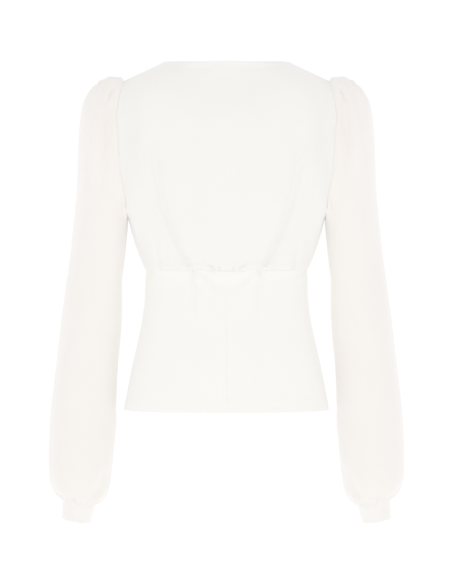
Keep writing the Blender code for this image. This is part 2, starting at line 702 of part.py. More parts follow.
def main():
    """Build every piece and give it its cloth."""
    for obj in list(bpy.data.objects):
        bpy.data.objects.remove(obj)
    fronts = [bodice_front("bodice_front_right", True), bodice_front("bodice_front_left", False)]
    body = [bodice_back(), *fronts]
    skirt = basque()
    arms = [sleeve("sleeve_right", False), sleeve("sleeve_left", True)]
    bands = [cuff("cuff_right", False), cuff("cuff_left", True)]
    looks = (
        (body, (0.93, 0.92, 0.89), 0.80),
        (skirt, (0.94, 0.93, 0.90), 0.78),
        (arms, (0.93, 0.91, 0.88), 0.85),
        (bands, (0.94, 0.92, 0.89), 0.80),
    )
    for pieces, colour, roughness in looks:
        for piece in pieces:
            piece.data.materials.append(cloth(f"{piece.name}_cloth", colour, roughness))


main()
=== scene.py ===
"""Wrap top of ivory crepe, dressed over its packed walls of cloth.

Metres, +Z up. The back of the top faces -Y and the wearer's right side is +X; the origin is
midway between the shoulder points. Each sewn piece is a thin shell on the outer face of its own
wall. The same tables of sizes give its form, and folds, gathers and turned edges are laid on it.
Tables are in millimetres, and MM turns them into metres.
"""
import logging
import math
from dataclasses import dataclass
from enum import Enum
from typing import Any, NamedTuple

import bpy
import numpy as np
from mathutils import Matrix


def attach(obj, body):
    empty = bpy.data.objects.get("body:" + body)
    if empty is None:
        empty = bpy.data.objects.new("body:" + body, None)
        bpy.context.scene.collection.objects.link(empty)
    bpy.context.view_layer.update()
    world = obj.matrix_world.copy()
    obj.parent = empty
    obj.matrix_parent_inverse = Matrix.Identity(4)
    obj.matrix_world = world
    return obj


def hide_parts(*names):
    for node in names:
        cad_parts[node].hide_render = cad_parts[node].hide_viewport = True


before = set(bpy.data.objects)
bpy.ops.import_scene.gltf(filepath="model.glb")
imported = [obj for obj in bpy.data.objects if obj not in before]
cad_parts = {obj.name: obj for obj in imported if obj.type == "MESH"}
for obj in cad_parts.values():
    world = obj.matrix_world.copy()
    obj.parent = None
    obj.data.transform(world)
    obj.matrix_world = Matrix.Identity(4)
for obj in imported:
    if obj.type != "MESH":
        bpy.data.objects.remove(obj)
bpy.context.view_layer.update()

LOG = logging.getLogger("wrap_top")

MM = 0.001
CLOTH = 0.8 * MM                 # thickness of a shell
HALF_GAP = 0.01 * MM             # between two sewn pieces, far less than between their walls
PLACE_MAP = "place_on_cloth"     # texture map of a piece: metres across and along its own cloth


class Side(Enum):
    """The wearer's sides; the value is the sign of X."""

    RIGHT = 1
    LEFT = -1

    @property
    def label(self) -> str:
        """The side as it stands in the names of nodes."""
        return self.name.lower()


class Face(Enum):
    """The two faces of the body of the top."""

    BACK = "back"
    FRONT = "front"


class Held(Enum):
    """How a piece of cloth is held in its shape."""

    DRAPED = "draped"
    GATHERED = "gathered"


# ---------------------------------------------------------------------------------------------
# Curves and tables
# ---------------------------------------------------------------------------------------------


def smooth_step(value: np.ndarray) -> np.ndarray:
    """Ease from 0 to 1, flat at both ends."""
    value = np.clip(value, 0.0, 1.0)
    return value * value * (3.0 - 2.0 * value)


def smooth_curve(knots: np.ndarray, values: np.ndarray, at: np.ndarray) -> np.ndarray:
    """Curve through the values, a cubic on each stretch with no overshoot.

    Args:
        knots: Places of the values, in any order.
        values: The values at those places.
        at: Places to read.

    Returns:
        The curve at each place; the end values beyond the ends.
    """
    order = np.argsort(knots)
    knots, values = np.asarray(knots)[order], np.asarray(values)[order]
    slope = np.diff(values) / np.diff(knots)
    tangent = np.zeros(len(values))
    tangent[0], tangent[-1] = slope[0], slope[-1]
    same = slope[:-1] * slope[1:] > 0
    tangent[1:-1][same] = 2 * slope[:-1][same] * slope[1:][same] / (slope[:-1] + slope[1:])[same]
    at = np.clip(at, knots[0], knots[-1])
    i = np.clip(np.searchsorted(knots, at) - 1, 0, len(slope) - 1)
    span = knots[i + 1] - knots[i]
    t = (at - knots[i]) / span
    return (
        (2 * t**3 - 3 * t**2 + 1) * values[i]
        + (t**3 - 2 * t**2 + t) * span * tangent[i]
        + (3 * t**2 - 2 * t**3) * values[i + 1]
        + (t**3 - t**2) * span * tangent[i + 1]
    )


class SizeTable:
    """A table of sizes in millimetres, a row for each section, read as curves in metres."""

    def __init__(self, rows: tuple[NamedTuple, ...], knot: str | None = None) -> None:
        """Keep the rows.

        Args:
            rows: The sections.
            knot: The column that places them, or None where their number does.
        """
        self.rows = rows
        self.knots = np.arange(len(rows)) if knot is None else self.column(knot)

    def column(self, name: str) -> np.ndarray:
        """One named column, in metres."""
        return np.array([getattr(row, name) for row in self.rows]) * MM

    def at(self, name: str, place: np.ndarray) -> np.ndarray:
        """One named column as a curve, read at each place."""
        return smooth_curve(self.knots, self.column(name), place)


class BodiceLevel(NamedTuple):
    """Half widths and depths of the back's and the fronts' ellipses at a height."""

    height: float
    back_half: float
    front_half: float
    back: float
    front: float


class BasqueLevel(NamedTuple):
    """Half width and depths of the basque at a height."""

    height: float
    half_width: float
    back: float
    front: float


class Station(NamedTuple):
    """One ring of the sleeve: its outer, inner, rear and front points, and its half depth."""

    outer_x: float
    outer_z: float
    inner_x: float
    inner_z: float
    rear_x: float
    front_x: float
    middle_z: float
    half_depth: float


BODICE_SIZES = SizeTable((
    BodiceLevel(-313.6, 127.6, 127.6, 82.0, 92.0),
    BodiceLevel(-306.0, 131.2, 131.2, 90.0, 99.0),
    BodiceLevel(-290.0, 137.8, 137.8, 95.0, 107.0),
    BodiceLevel(-272.0, 144.2, 144.2, 98.0, 114.0),
    BodiceLevel(-255.0, 149.4, 149.4, 100.0, 119.0),
    BodiceLevel(-238.0, 153.8, 153.8, 101.5, 122.5),
    BodiceLevel(-232.0, 156.0, 156.0, 102.0, 123.2),
    BodiceLevel(-227.8, 161.0, 156.3, 102.4, 123.6),
    BodiceLevel(-222.5, 166.0, 156.8, 102.7, 124.0),
    BodiceLevel(-214.0, 170.6, 157.8, 103.2, 124.5),
    BodiceLevel(-200.0, 173.3, 159.6, 103.7, 124.5),
    BodiceLevel(-170.0, 180.0, 165.6, 104.0, 120.5),
    BodiceLevel(-142.0, 188.0, 172.4, 103.0, 112.5),
    BodiceLevel(-116.0, 196.0, 178.0, 101.5, 104.0),
    BodiceLevel(-86.0, 197.0, 181.6, 98.8, 93.0),
    BodiceLevel(-52.0, 187.5, 185.0, 92.0, 79.0),
    BodiceLevel(-15.0, 179.3, 192.0, 81.0, 66.0),
    BodiceLevel(15.0, 176.0, 194.0, 72.0, 56.0),
), knot="height")

BASQUE_SIZES = SizeTable((
    BasqueLevel(-313.6, 127.4, 82.0, 92.0),
    BasqueLevel(-336.0, 128.2, 88.0, 94.0),
    BasqueLevel(-361.0, 129.2, 93.5, 96.5),
    BasqueLevel(-388.0, 132.4, 98.5, 99.0),
    BasqueLevel(-415.0, 137.2, 104.0, 102.0),
    BasqueLevel(-445.0, 144.0, 109.5, 105.5),
    BasqueLevel(-475.0, 150.6, 114.0, 109.5),
    BasqueLevel(-505.0, 156.2, 117.5, 113.5),
    BasqueLevel(-533.0, 161.0, 120.5, 117.0),
), knot="height")

SLEEVE_SIZES = SizeTable((
    Station(162.0, -15.0, 155.6, -232.0, 169.0, 156.0, -123.5, 55.0),
    Station(176.0, -9.0, 155.8, -236.0, 175.0, 166.0, -126.0, 58.0),
    Station(191.5, -10.6, 156.0, -241.0, 181.0, 175.0, -131.0, 60.5),
    Station(205.6, -18.6, 156.3, -247.5, 186.0, 182.0, -139.0, 62.0),
    Station(218.2, -34.0, 157.0, -256.5, 190.0, 188.0, -152.0, 62.5),
    Station(227.5, -54.0, 158.0, -269.0, 192.5, 192.0, -170.0, 62.0),
    Station(232.0, -87.0, 159.0, -286.0, 194.5, 194.5, -193.0, 60.5),
    Station(235.0, -130.0, 160.5, -308.0, 197.0, 197.0, -224.0, 58.5),
    Station(237.0, -185.0, 162.0, -338.0, 200.0, 200.0, -265.0, 56.5),
    Station(243.0, -255.0, 163.8, -372.0, 204.0, 204.0, -315.0, 54.5),
    Station(252.0, -330.0, 167.0, -415.0, 210.0, 210.0, -373.0, 53.0),
    Station(263.0, -410.0, 171.0, -465.0, 217.0, 217.0, -438.0, 53.0),
    Station(272.0, -485.0, 174.0, -520.0, 223.0, 223.0, -503.0, 54.0),
    Station(278.5, -550.0, 177.0, -575.0, 227.5, 227.5, -563.0, 55.5),
    Station(281.0, -602.0, 179.5, -612.0, 230.0, 230.0, -608.0, 56.0),
    Station(279.5, -636.0, 183.0, -645.0, 231.5, 231.5, -641.0, 54.0),
    Station(274.5, -657.0, 187.5, -664.0, 232.0, 232.0, -661.0, 50.0),
    Station(266.5, -670.0, 195.0, -677.0, 232.5, 232.5, -674.0, 43.0),
    Station(258.5, -677.0, 207.0, -686.0, 232.8, 232.8, -681.5, 33.0),
))


# ---------------------------------------------------------------------------------------------
# Folds and gathers
# ---------------------------------------------------------------------------------------------


FOLD_REACH = 3.2                 # widths from its line past which a fold adds nothing
ROLL_ROOM = 0.45                 # most of the last row's width that an edge's roll may take
LEAST = 1e-9                     # keeps divisions from failing where two points coincide
LEAST_ANGLE = 1e-3               # stands for the shoulder point itself, where depths vanish
LEAST_TURN = 1e-6                # likewise for a turn between two places on a row


@dataclass(frozen=True)
class Fold:
    """A soft trough or ridge laid along a bent line, in millimetres.

    The depths are those at its start, middle and end; less than 0 is a trough. Lean makes the
    profile steeper on one side of the line, from -0.6 to 0.6.
    """

    start: tuple[float, float]
    bend: tuple[float, float]
    end: tuple[float, float]
    width: tuple[float, float]
    depth: tuple[float, float, float]
    lean: float = 0.0
    steps: int = 28

    def line(self) -> np.ndarray:
        """Points along the fold's line, in metres.

        Returns:
            The points, from start to end.
        """
        t = np.linspace(0.0, 1.0, self.steps + 1)[:, None]
        start, bend, end = (np.array(p) * MM for p in (self.start, self.bend, self.end))
        return (1 - t) ** 2 * start + 2 * t * (1 - t) * bend + t * t * end

    def height(self, x: np.ndarray, z: np.ndarray) -> np.ndarray:
        """Height that the fold adds at points of a face.

        Args:
            x: Places across, in metres.
            z: Places up, in metres.

        Returns:
            The height at each point, positive outwards, in metres.
        """
        line = self.line()
        reach = FOLD_REACH * max(self.width) * MM * (1 + abs(self.lean))
        low, high = line.min(axis=0) - reach, line.max(axis=0) + reach
        near = (x > low[0]) & (x < high[0]) & (z > low[1]) & (z < high[1])
        total = np.zeros(np.shape(x))
        if near.any():
            total[near] = self.profile(line, x[near], z[near])
        return total

    def profile(self, line: np.ndarray, x: np.ndarray, z: np.ndarray) -> np.ndarray:
        """Height at points close to the line.

        Args:
            line: The fold's line, in metres.
            x: Places across.
            z: Places up.

        Returns:
            The height at each point, in metres.
        """
        best = np.full(x.shape, np.inf)
        along, side = np.zeros(x.shape), np.zeros(x.shape)
        for k, (a, b) in enumerate(zip(line, line[1:])):
            run = b - a
            px, pz = x - a[0], z - a[1]
            share = np.clip((px * run[0] + pz * run[1]) / (run @ run), 0.0, 1.0)
            distance = (px - share * run[0]) ** 2 + (pz - share * run[1]) ** 2
            nearer = distance < best
            best = np.where(nearer, distance, best)
            along = np.where(nearer, (k + share) / self.steps, along)
            side = np.where(nearer, np.sign(run[0] * pz - run[1] * px), side)
        width = (self.width[0] + (self.width[1] - self.width[0]) * along) * MM
        first, middle, last = self.depth
        depth = first * (1 - along) * (1 - 2 * along) + 4 * middle * along * (1 - along)
        depth = (depth + last * along * (2 * along - 1)) * MM
        return depth * np.exp(-best / (width * (1 + self.lean * side)) ** 2)


def fold_height(folds: tuple[Fold, ...], x: np.ndarray, z: np.ndarray) -> np.ndarray:
    """Height of several folds together at points of a face, in metres."""
    return sum((fold.height(x, z) for fold in folds), np.zeros(np.shape(x)))


@dataclass(frozen=True)
class Gathers:
    """Uneven gathers that run out of a seam, in millimetres.

    They lie between two places along the seam. Each is a trough with its own place, width,
    depth, length and slant, drawn from one seed.
    """

    count: int
    first: float
    last: float
    width: float
    depth: float
    reach: float
    seed: int
    slant: float = 0.15
    place_change: float = 0.28                       # share of a gather's own spacing
    width_change: tuple[float, float] = (0.75, 1.35)
    depth_change: tuple[float, float] = (0.55, 1.3)
    reach_change: tuple[float, float] = (0.5, 1.4)
    spread: float = 0.8                              # how much wider a gather is at its reach

    def height(self, along: np.ndarray, away: np.ndarray) -> np.ndarray:
        """Height that the gathers add.

        Args:
            along: Places along the seam, in metres.
            away: Distances from the seam, in metres.

        Returns:
            The height at each point, in metres, never above 0.
        """
        rng = np.random.default_rng(self.seed)
        spacing = (self.last - self.first) / self.count
        total = np.zeros(np.broadcast(along, away).shape)
        for k in range(self.count):
            aside = rng.uniform(-self.place_change, self.place_change)
            centre = (self.first + spacing * (k + 0.5 + aside)) * MM
            width = self.width * rng.uniform(*self.width_change) * MM
            depth = self.depth * rng.uniform(*self.depth_change) * MM
            reach = self.reach * rng.uniform(*self.reach_change) * MM
            slant = self.slant * rng.uniform(-1.0, 1.0)
            spread = width * (1 + self.spread * away / reach)
            shape = np.exp(-(((along - centre - slant * away) / spread) ** 2))
            total -= depth * np.exp(-((away / reach) ** 2)) * shape
        return total


@dataclass(frozen=True)
class SoftWaves:
    """Broad shallow unevenness that keeps cloth from looking ironed, in millimetres."""

    depth: float
    length: float
    seed: int
    count: int = 7
    length_change: tuple[float, float] = (0.7, 1.6)

    def height(self, across: np.ndarray, along: np.ndarray) -> np.ndarray:
        """Height at places on the cloth, both in metres.

        Args:
            across: Places across the cloth.
            along: Places along it.

        Returns:
            The height at each place, in metres.
        """
        rng = np.random.default_rng(self.seed)
        total = np.zeros(np.broadcast(across, along).shape)
        for _ in range(self.count):
            turn, phase = rng.uniform(0, math.pi), rng.uniform(0, 2 * math.pi)
            pitch = 2 * math.pi / (self.length * rng.uniform(*self.length_change) * MM)
            total += np.sin(pitch * (across * math.cos(turn) + along * math.sin(turn)) + phase)
        return total * self.depth * MM / math.sqrt(self.count)


# ---------------------------------------------------------------------------------------------
# Shells of cloth
# ---------------------------------------------------------------------------------------------


@dataclass(frozen=True)
class EdgeFinish:
    """Section of a sewn edge, in millimetres: the cloth rolls in, and its tail runs on inside."""

    radius: float
    tail: float
    folded: bool
    steps: int = 5
    tail_steps: int = 3

    def roll(self, radius: np.ndarray) -> list[tuple[np.ndarray, np.ndarray]]:
        """Rows of the roll, as offsets past the edge and into the garment.

        Args:
            radius: The roll's radius at each point of the edge, in metres.

        Returns:
            For each row the offsets at each point, in metres, from where the roll starts.
        """
        angles = np.linspace(0.0, math.pi if self.folded else math.pi / 2, self.steps + 1)
        return [(radius * (math.sin(a) - 1), radius * (1 - math.cos(a))) for a in angles]


SEAM_EDGE = EdgeFinish(radius=0.25, tail=6.0, folded=False)
FINE_SEAM_EDGE = EdgeFinish(radius=0.12, tail=6.0, folded=False)
TURNED_EDGE = EdgeFinish(radius=0.95, tail=8.0, folded=True, tail_steps=5)
HEM_EDGE = EdgeFinish(radius=0.95, tail=20.0, folded=True, tail_steps=8)


@dataclass(frozen=True)
class Edges:
    """Finishes of a grid's four edges: its first and last rows, and its first and last columns.

    Where top_open is 1 the top edge's roll has its full size, past the edge, and where it is 0
    that edge is sewn.
    """

    bottom: EdgeFinish
    top: EdgeFinish
    start: EdgeFinish
    end: EdgeFinish
    top_open: np.ndarray | None = None


def unit(vectors: np.ndarray) -> np.ndarray:
    """The vectors at length 1."""
    return vectors / np.maximum(np.linalg.norm(vectors, axis=-1, keepdims=True), LEAST)


def grid_cross(points: np.ndarray) -> np.ndarray:
    """Vectors square to a grid of points, on the side that its order of rows gives."""
    return np.cross(np.gradient(points, axis=1), np.gradient(points, axis=0))


def grid_normals(points: np.ndarray, centre: np.ndarray) -> np.ndarray:
    """Unit normals of a grid of points, on the side away from the garment's inside.

    Args:
        points: The grid, rows first.
        centre: Points inside the garment, which broadcast against the grid.

    Returns:
        A normal for each point.
    """
    normal = unit(grid_cross(points))
    return normal if (normal * (points - centre)).sum() > 0 else -normal


def raise_by(points: np.ndarray, height: np.ndarray, centre: np.ndarray) -> np.ndarray:
    """The grid with each point moved out along its normal by a height."""
    return points + grid_normals(points, centre) * height[..., None]


def walk_back(base: np.ndarray, normal: np.ndarray, run: float, depth: np.ndarray) -> np.ndarray:
    """Points inside a surface, at one distance back from its last row.

    Args:
        base: The surface's grid, rows first.
        normal: Its normals.
        run: Distance back along each column, in metres.
        depth: Distance below the surface at each column, in metres.

    Returns:
        Moves from the last row to the points.
    """
    step = np.linalg.norm(np.diff(base[::-1], axis=0), axis=2)
    place = np.concatenate((np.zeros((1, base.shape[1])), step.cumsum(axis=0)))
    row = np.clip((place < run).sum(axis=0), 1, len(base) - 1)
    column = np.arange(base.shape[1])
    low, high = place[row - 1, column], place[row, column]
    share = np.clip((run - low) / np.maximum(high - low, LEAST), 0.0, 1.0)[:, None]
    near, far = base[::-1][row - 1, column], base[::-1][row, column]
    below = normal[::-1][row - 1, column] * (1 - share) + normal[::-1][row, column] * share
    return near + (far - near) * share - below * depth - base[-1]


def add_edge(points: np.ndarray, base: np.ndarray, normal: np.ndarray,
             finish: EdgeFinish, open_share: np.ndarray | None = None) -> np.ndarray:
    """Finish the last row of a grid.

    Args:
        points: The grid so far, rows first.
        base: The plain grid, spread to the width of points.
        normal: Normals of the plain grid, spread likewise.
        finish: The edge's section.
        open_share: How far the edge is open at each column, where only a part of it is.

    Returns:
        The grid with the edge's rows in place of its last row.
    """
    out = base[-1] - base[-2]
    room = np.linalg.norm(out, axis=-1, keepdims=True)
    radius = np.minimum(finish.radius * MM, ROLL_ROOM * room)
    shift = np.zeros_like(radius)
    if open_share is not None:
        shift = finish.radius * MM * open_share[:, None]
        radius = np.maximum(radius, shift)
    past = unit(out)
    rows = [points[-1] + past * (a + shift) - normal[-1] * b for a, b in finish.roll(radius)]
    for share in np.linspace(0.0, 1.0, finish.tail_steps + 1)[1:]:
        run = finish.tail * MM * share
        if finish.folded:
            rows.append(points[-1] + walk_back(base, normal, run, 2 * radius))
        else:
            rows.append(rows[finish.steps] - normal[-1] * run)
    return np.concatenate((points[:-1], np.stack(rows)))


def finish_edges(points: np.ndarray, centre: np.ndarray, edges: Edges) -> np.ndarray:
    """Turn in all four edges of a grid.

    The corners take both turns at once, so that they lie inside the garment.

    Args:
        points: The grid, rows first.
        centre: Points inside the garment, which broadcast against the grid.
        edges: The finishes.

    Returns:
        The larger grid.
    """
    normal = grid_normals(points, centre)
    grid = add_edge(points, points, normal, edges.top, edges.top_open)
    top_rows = len(grid) - len(points)
    grid = add_edge(grid[::-1], points[::-1], normal[::-1], edges.bottom)[::-1]
    bottom_rows = len(grid) - len(points) - top_rows
    spread = np.concatenate((
        np.zeros(bottom_rows, dtype=int), np.arange(len(points)),
        np.full(top_rows, len(points) - 1),
    ))
    turned = grid.swapaxes(0, 1)
    plain = points[spread].swapaxes(0, 1)
    side_normal = normal[spread].swapaxes(0, 1)
    turned = add_edge(turned, plain, side_normal, edges.end)
    turned = add_edge(turned[::-1], plain[::-1], side_normal[::-1], edges.start)[::-1]
    return turned.swapaxes(0, 1)


def close_tube(points: np.ndarray) -> None:
    """Bring a tube's first and last columns together, with the seam's gap between them.

    Args:
        points: The grid, with a column for each place round the tube; changed in place.
    """
    points[:, 0] = points[:, -1] = (points[:, 0] + points[:, -1]) / 2
    for edge, inner in ((0, 1), (-1, -2)):
        points[:, edge] += unit(points[:, inner] - points[:, edge]) * HALF_GAP


def put_on_side(side: Side, *grids: np.ndarray) -> None:
    """Mirror grids that are made for the right side where the piece belongs to the left."""
    for grid in grids:
        grid[..., 0] *= side.value


def places_on_cloth(points: np.ndarray) -> np.ndarray:
    """Place of each grid point on its own flat cloth: metres across and along.

    Args:
        points: The grid, rows first.

    Returns:
        The two lengths at each point.
    """
    across = np.linalg.norm(np.diff(points, axis=1), axis=2)
    along = np.linalg.norm(np.diff(points, axis=0), axis=2)
    u = np.concatenate((np.zeros((len(points), 1)), across.cumsum(axis=1)), axis=1)
    v = np.concatenate((np.zeros((1, points.shape[1])), along.cumsum(axis=0)), axis=0)
    return np.stack((u - u[:, u.shape[1] // 2, None], v), axis=2)


def make_shell(name: str, points: np.ndarray, centre: np.ndarray,
               edges: Edges) -> bpy.types.Object:
    """Make a thin closed shell of cloth inside a grid of outer points.

    Args:
        name: Name of the new object.
        points: The outer face, rows first.
        centre: Points inside the garment, which broadcast against the grid.
        edges: How the four edges are turned in.

    Returns:
        The shell, linked to the scene.
    """
    sign = np.sign((grid_cross(points) * (points - centre)).sum())
    outer = finish_edges(points, centre, edges)
    normal = unit(grid_cross(outer)) * sign
    inner = outer - normal * CLOTH
    rows, columns = outer.shape[:2]
    number = np.arange(rows * columns).reshape(rows, columns)
    count = number.size
    face = np.stack((number[:-1, :-1], number[:-1, 1:], number[1:, 1:], number[1:, :-1]), axis=-1)
    face = face.reshape(-1, 4)
    rims = []
    for a, b in (
        (number[0, 1:], number[0, :-1]), (number[-1, :-1], number[-1, 1:]),
        (number[:-1, 0], number[1:, 0]), (number[1:, -1], number[:-1, -1]),
    ):
        rims.append(np.stack((a, b, b + count, a + count), axis=-1))
    faces = np.concatenate((face, face[:, ::-1] + count, *rims))
    if sign < 0:
        faces = faces[:, ::-1]
    mesh = bpy.data.meshes.new(name)
    vertices = np.concatenate((outer.reshape(-1, 3), inner.reshape(-1, 3)))
    mesh.from_pydata(vertices.tolist(), [], faces.tolist())
    place = np.tile(places_on_cloth(outer).reshape(-1, 2), (2, 1))
    corner = np.empty(len(mesh.loops), dtype=np.int32)
    mesh.loops.foreach_get("vertex_index", corner)
    layer = mesh.uv_layers.new(name=PLACE_MAP)
    layer.data.foreach_set("uv", place[corner].ravel())
    mesh.shade_smooth()
    shell = bpy.data.objects.new(name, mesh)
    bpy.context.collection.objects.link(shell)
    return shell


# ---------------------------------------------------------------------------------------------
# Finishes
# ---------------------------------------------------------------------------------------------


def linear(colour: str) -> tuple[float, float, float, float]:
    """An sRGB hex colour, such as "F7F6F2", as linear red, green, blue and alpha.

    Args:
        colour: The hex value, without a sign before it.

    Returns:
        Red, green, blue and alpha, from 0 to 1.
    """
    parts = [int(colour[i:i + 2], 16) / 255 for i in (0, 2, 4)]
    red, green, blue = (c / 12.92 if c <= 0.04045 else ((c + 0.055) / 1.055) ** 2.4 for c in parts)
    return red, green, blue, 1.0


def add_node(tree: bpy.types.NodeTree, kind: str, settings: dict[str, Any] | None = None,
             inputs: dict[str | int, Any] | None = None) -> bpy.types.Node:
    """Add a node with its settings and links.

    Args:
        tree: The node tree.
        kind: The node's type.
        settings: Properties of the node.
        inputs: For each input, by name or number, a socket to link or a value to set.

    Returns:
        The new node.
    """
    node = tree.nodes.new(kind)
    for key, value in (settings or {}).items():
        setattr(node, key, value)
    for key, value in (inputs or {}).items():
        if isinstance(value, bpy.types.NodeSocket):
            tree.links.new(value, node.inputs[key])
        else:
            node.inputs[key].default_value = value
    return node


WAVE_BANDS = 3.0                 # about the bands that a wave texture of scale 1 lays in a unit


@dataclass(frozen=True)
class Crepe:
    """Woven polyester crepe: over-twisted threads that give a matt, finely pebbled face."""

    name: str
    face: str                     # sRGB of the cloth
    dip: str                      # sRGB where the dye and the weave lie thinner
    roughness: float = 0.82       # woven matt cloth scatters nearly evenly
    sheen: float = 0.75           # short fibre ends catch light where the cloth turns away
    thread: float = 1.1           # mm; real threads lie 0.35 mm apart, drawn coarser to show
    pebble: float = 2.4           # mm; real crepe pebbles are about 1 mm, drawn coarser to show
    cloud: float = 45.0           # mm; broad unevenness of tone
    relief: float = 0.16          # strength of the pebbles
    pebble_height: float = 0.35   # mm
    thread_height: float = 0.15   # mm
    thread_relief: float = 0.10   # strength of the threads, fainter than the pebbles
    ior: float = 1.5              # polyester
    gloss: float = 0.25           # specular level; the pebbles break up most of the gloss
    sheen_spread: float = 0.6     # roughness of the sheen
    shine_change: float = 0.04    # how far the roughness goes up and down over the pebbles
    pebble_tone: float = 0.35     # share of the pebbles in the change of tone; clouds have 1
    thread_waver: float = 1.2     # how unevenly the threads run

    def material(self) -> bpy.types.Material:
        """Make the cloth's material.

        Returns:
            A material whose weave follows the cloth through the piece's own map of places.
        """
        material = bpy.data.materials.new(self.name)
        material.use_nodes = True
        tree = material.node_tree
        shader = tree.nodes["Principled BSDF"]
        place = add_node(tree, "ShaderNodeUVMap", {"uv_map": PLACE_MAP})
        solid = add_node(tree, "ShaderNodeTexCoord")
        weave = self.weave(tree, place.outputs["UV"])
        pebbles, cloud = (
            add_node(tree, "ShaderNodeTexNoise", {"noise_dimensions": "3D"}, {
                "Vector": solid.outputs["Object"], "Scale": 1 / (size * MM),
                "Detail": detail, "Roughness": roughness,
            }).outputs["Fac"]
            for size, detail, roughness in ((self.pebble, 3.0, 0.55), (self.cloud, 2.0, 0.5))
        )
        tone = add_node(tree, "ShaderNodeMath", {"operation": "MULTIPLY_ADD"}, {
            0: pebbles, 1: self.pebble_tone, 2: cloud,
        })
        share = add_node(tree, "ShaderNodeMapRange", None, {
            "Value": tone.outputs["Value"], "From Min": 0.45, "From Max": 0.95,
        })
        colour = add_node(tree, "ShaderNodeMix", {"data_type": "RGBA"}, {
            "Factor": share.outputs["Result"],
            "A": linear(self.dip), "B": linear(self.face),
        })
        tree.links.new(colour.outputs["Result"], shader.inputs["Base Color"])
        matt = add_node(tree, "ShaderNodeMapRange", None, {
            "Value": pebbles, "From Min": 0.3, "From Max": 0.7,
            "To Min": self.roughness - self.shine_change,
            "To Max": self.roughness + self.shine_change,
        })
        tree.links.new(matt.outputs["Result"], shader.inputs["Roughness"])
        grain = add_node(tree, "ShaderNodeBump", None, {
            "Strength": self.relief, "Distance": self.pebble_height * MM, "Height": pebbles,
        })
        threads = add_node(tree, "ShaderNodeBump", None, {
            "Strength": self.thread_relief, "Distance": self.thread_height * MM,
            "Height": weave, "Normal": grain.outputs["Normal"],
        })
        tree.links.new(threads.outputs["Normal"], shader.inputs["Normal"])
        for socket, value in {
            "IOR": self.ior, "Specular IOR Level": self.gloss,
            "Sheen Weight": self.sheen, "Sheen Roughness": self.sheen_spread,
        }.items():
            shader.inputs[socket].default_value = value
        return material

    def weave(self, tree: bpy.types.NodeTree, place: bpy.types.NodeSocket) -> bpy.types.NodeSocket:
        """Height of the crossing threads.

        Args:
            tree: The material's node tree.
            place: The place on the cloth, in metres.

        Returns:
            A socket with the height, from 0 to 1.
        """
        bands = []
        for direction in ("X", "Y"):
            wave = add_node(tree, "ShaderNodeTexWave", {"bands_direction": direction}, {
                "Vector": place, "Scale": 1 / (self.thread * MM) / WAVE_BANDS,
                "Distortion": self.thread_waver, "Detail": 1.0, "Detail Scale": 0.4,
            })
            bands.append(wave.outputs["Fac"])
        cross = add_node(tree, "ShaderNodeMath", {"operation": "MAXIMUM"}, dict(enumerate(bands)))
        return cross.outputs["Value"]


BODY_CREPE = Crepe("ivory_crepe_bodice", face="F4F1EA", dip="F2EFE7", relief=0.10)
# Painted light: the basque's crepe is the bodice's crepe drawn lighter, standing for the extra
# light that falls on the lower part of the top.
BASQUE_CREPE_PAINTED_LIGHTER = Crepe("ivory_crepe_basque", face="F8F6EE", dip="F7F5EC", relief=0.08)
SLEEVE_CREPE = Crepe("ivory_crepe_sleeve", face="F4EDE5", dip="F3EAE2", relief=0.10)
CUFF_CREPE = Crepe("ivory_crepe_cuff", face="F5F0EA", dip="F3EDE6", relief=0.08)


# ---------------------------------------------------------------------------------------------
# Sewn pieces
# ---------------------------------------------------------------------------------------------


@dataclass(frozen=True)
class Cut:
    """Flat size of a piece as it is cut, in metres and square metres."""

    width: float
    length: float
    area: float
    held: Held


@dataclass
class SewnPiece:
    """A sewn piece: the wall that it stands for, its crepe and its cut."""

    node: str
    slot: str
    crepe: Crepe
    cut: Cut

    def shell(self, points: np.ndarray, centre: np.ndarray, edges: Edges) -> bpy.types.Object:
        """Make the piece's shell, named for its wall and its cloth."""
        return make_shell(f"{self.node}_crepe", points, centre, edges)

    def dress(self, shell: bpy.types.Object) -> None:
        """Give a shell its crepe and its place in the frame, and report it.

        Args:
            shell: The piece's shell.
        """
        shell.data.materials.append(self.crepe.material())
        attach(shell, "root")
        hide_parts(self.node)
        LOG.info("%s: %d faces over %s", shell.name, len(shell.data.polygons), self.node)


class Rows(NamedTuple):
    """Rows of the bodice from waist to shoulder: half width of the ellipse, height, sweep."""

    half: np.ndarray
    height: np.ndarray
    sweep: np.ndarray


SQUARE_BELOW = -95 * MM          # height where the back's sections begin to square
SQUARE_RUN = 80 * MM             # drop over which they do
SQUARE_SHARE = 0.28              # how much flatter than an ellipse they then are


def squareness(z: np.ndarray, face: Face) -> np.ndarray:
    """Power that squares a section: 1 is an ellipse; the lower back is flatter, with corners.

    Args:
        z: Heights, in metres.
        face: Back or front.

    Returns:
        The power at each height.
    """
    if face is Face.FRONT:
        return np.ones_like(z)
    return 1 - SQUARE_SHARE * smooth_step((SQUARE_BELOW - z) / SQUARE_RUN)


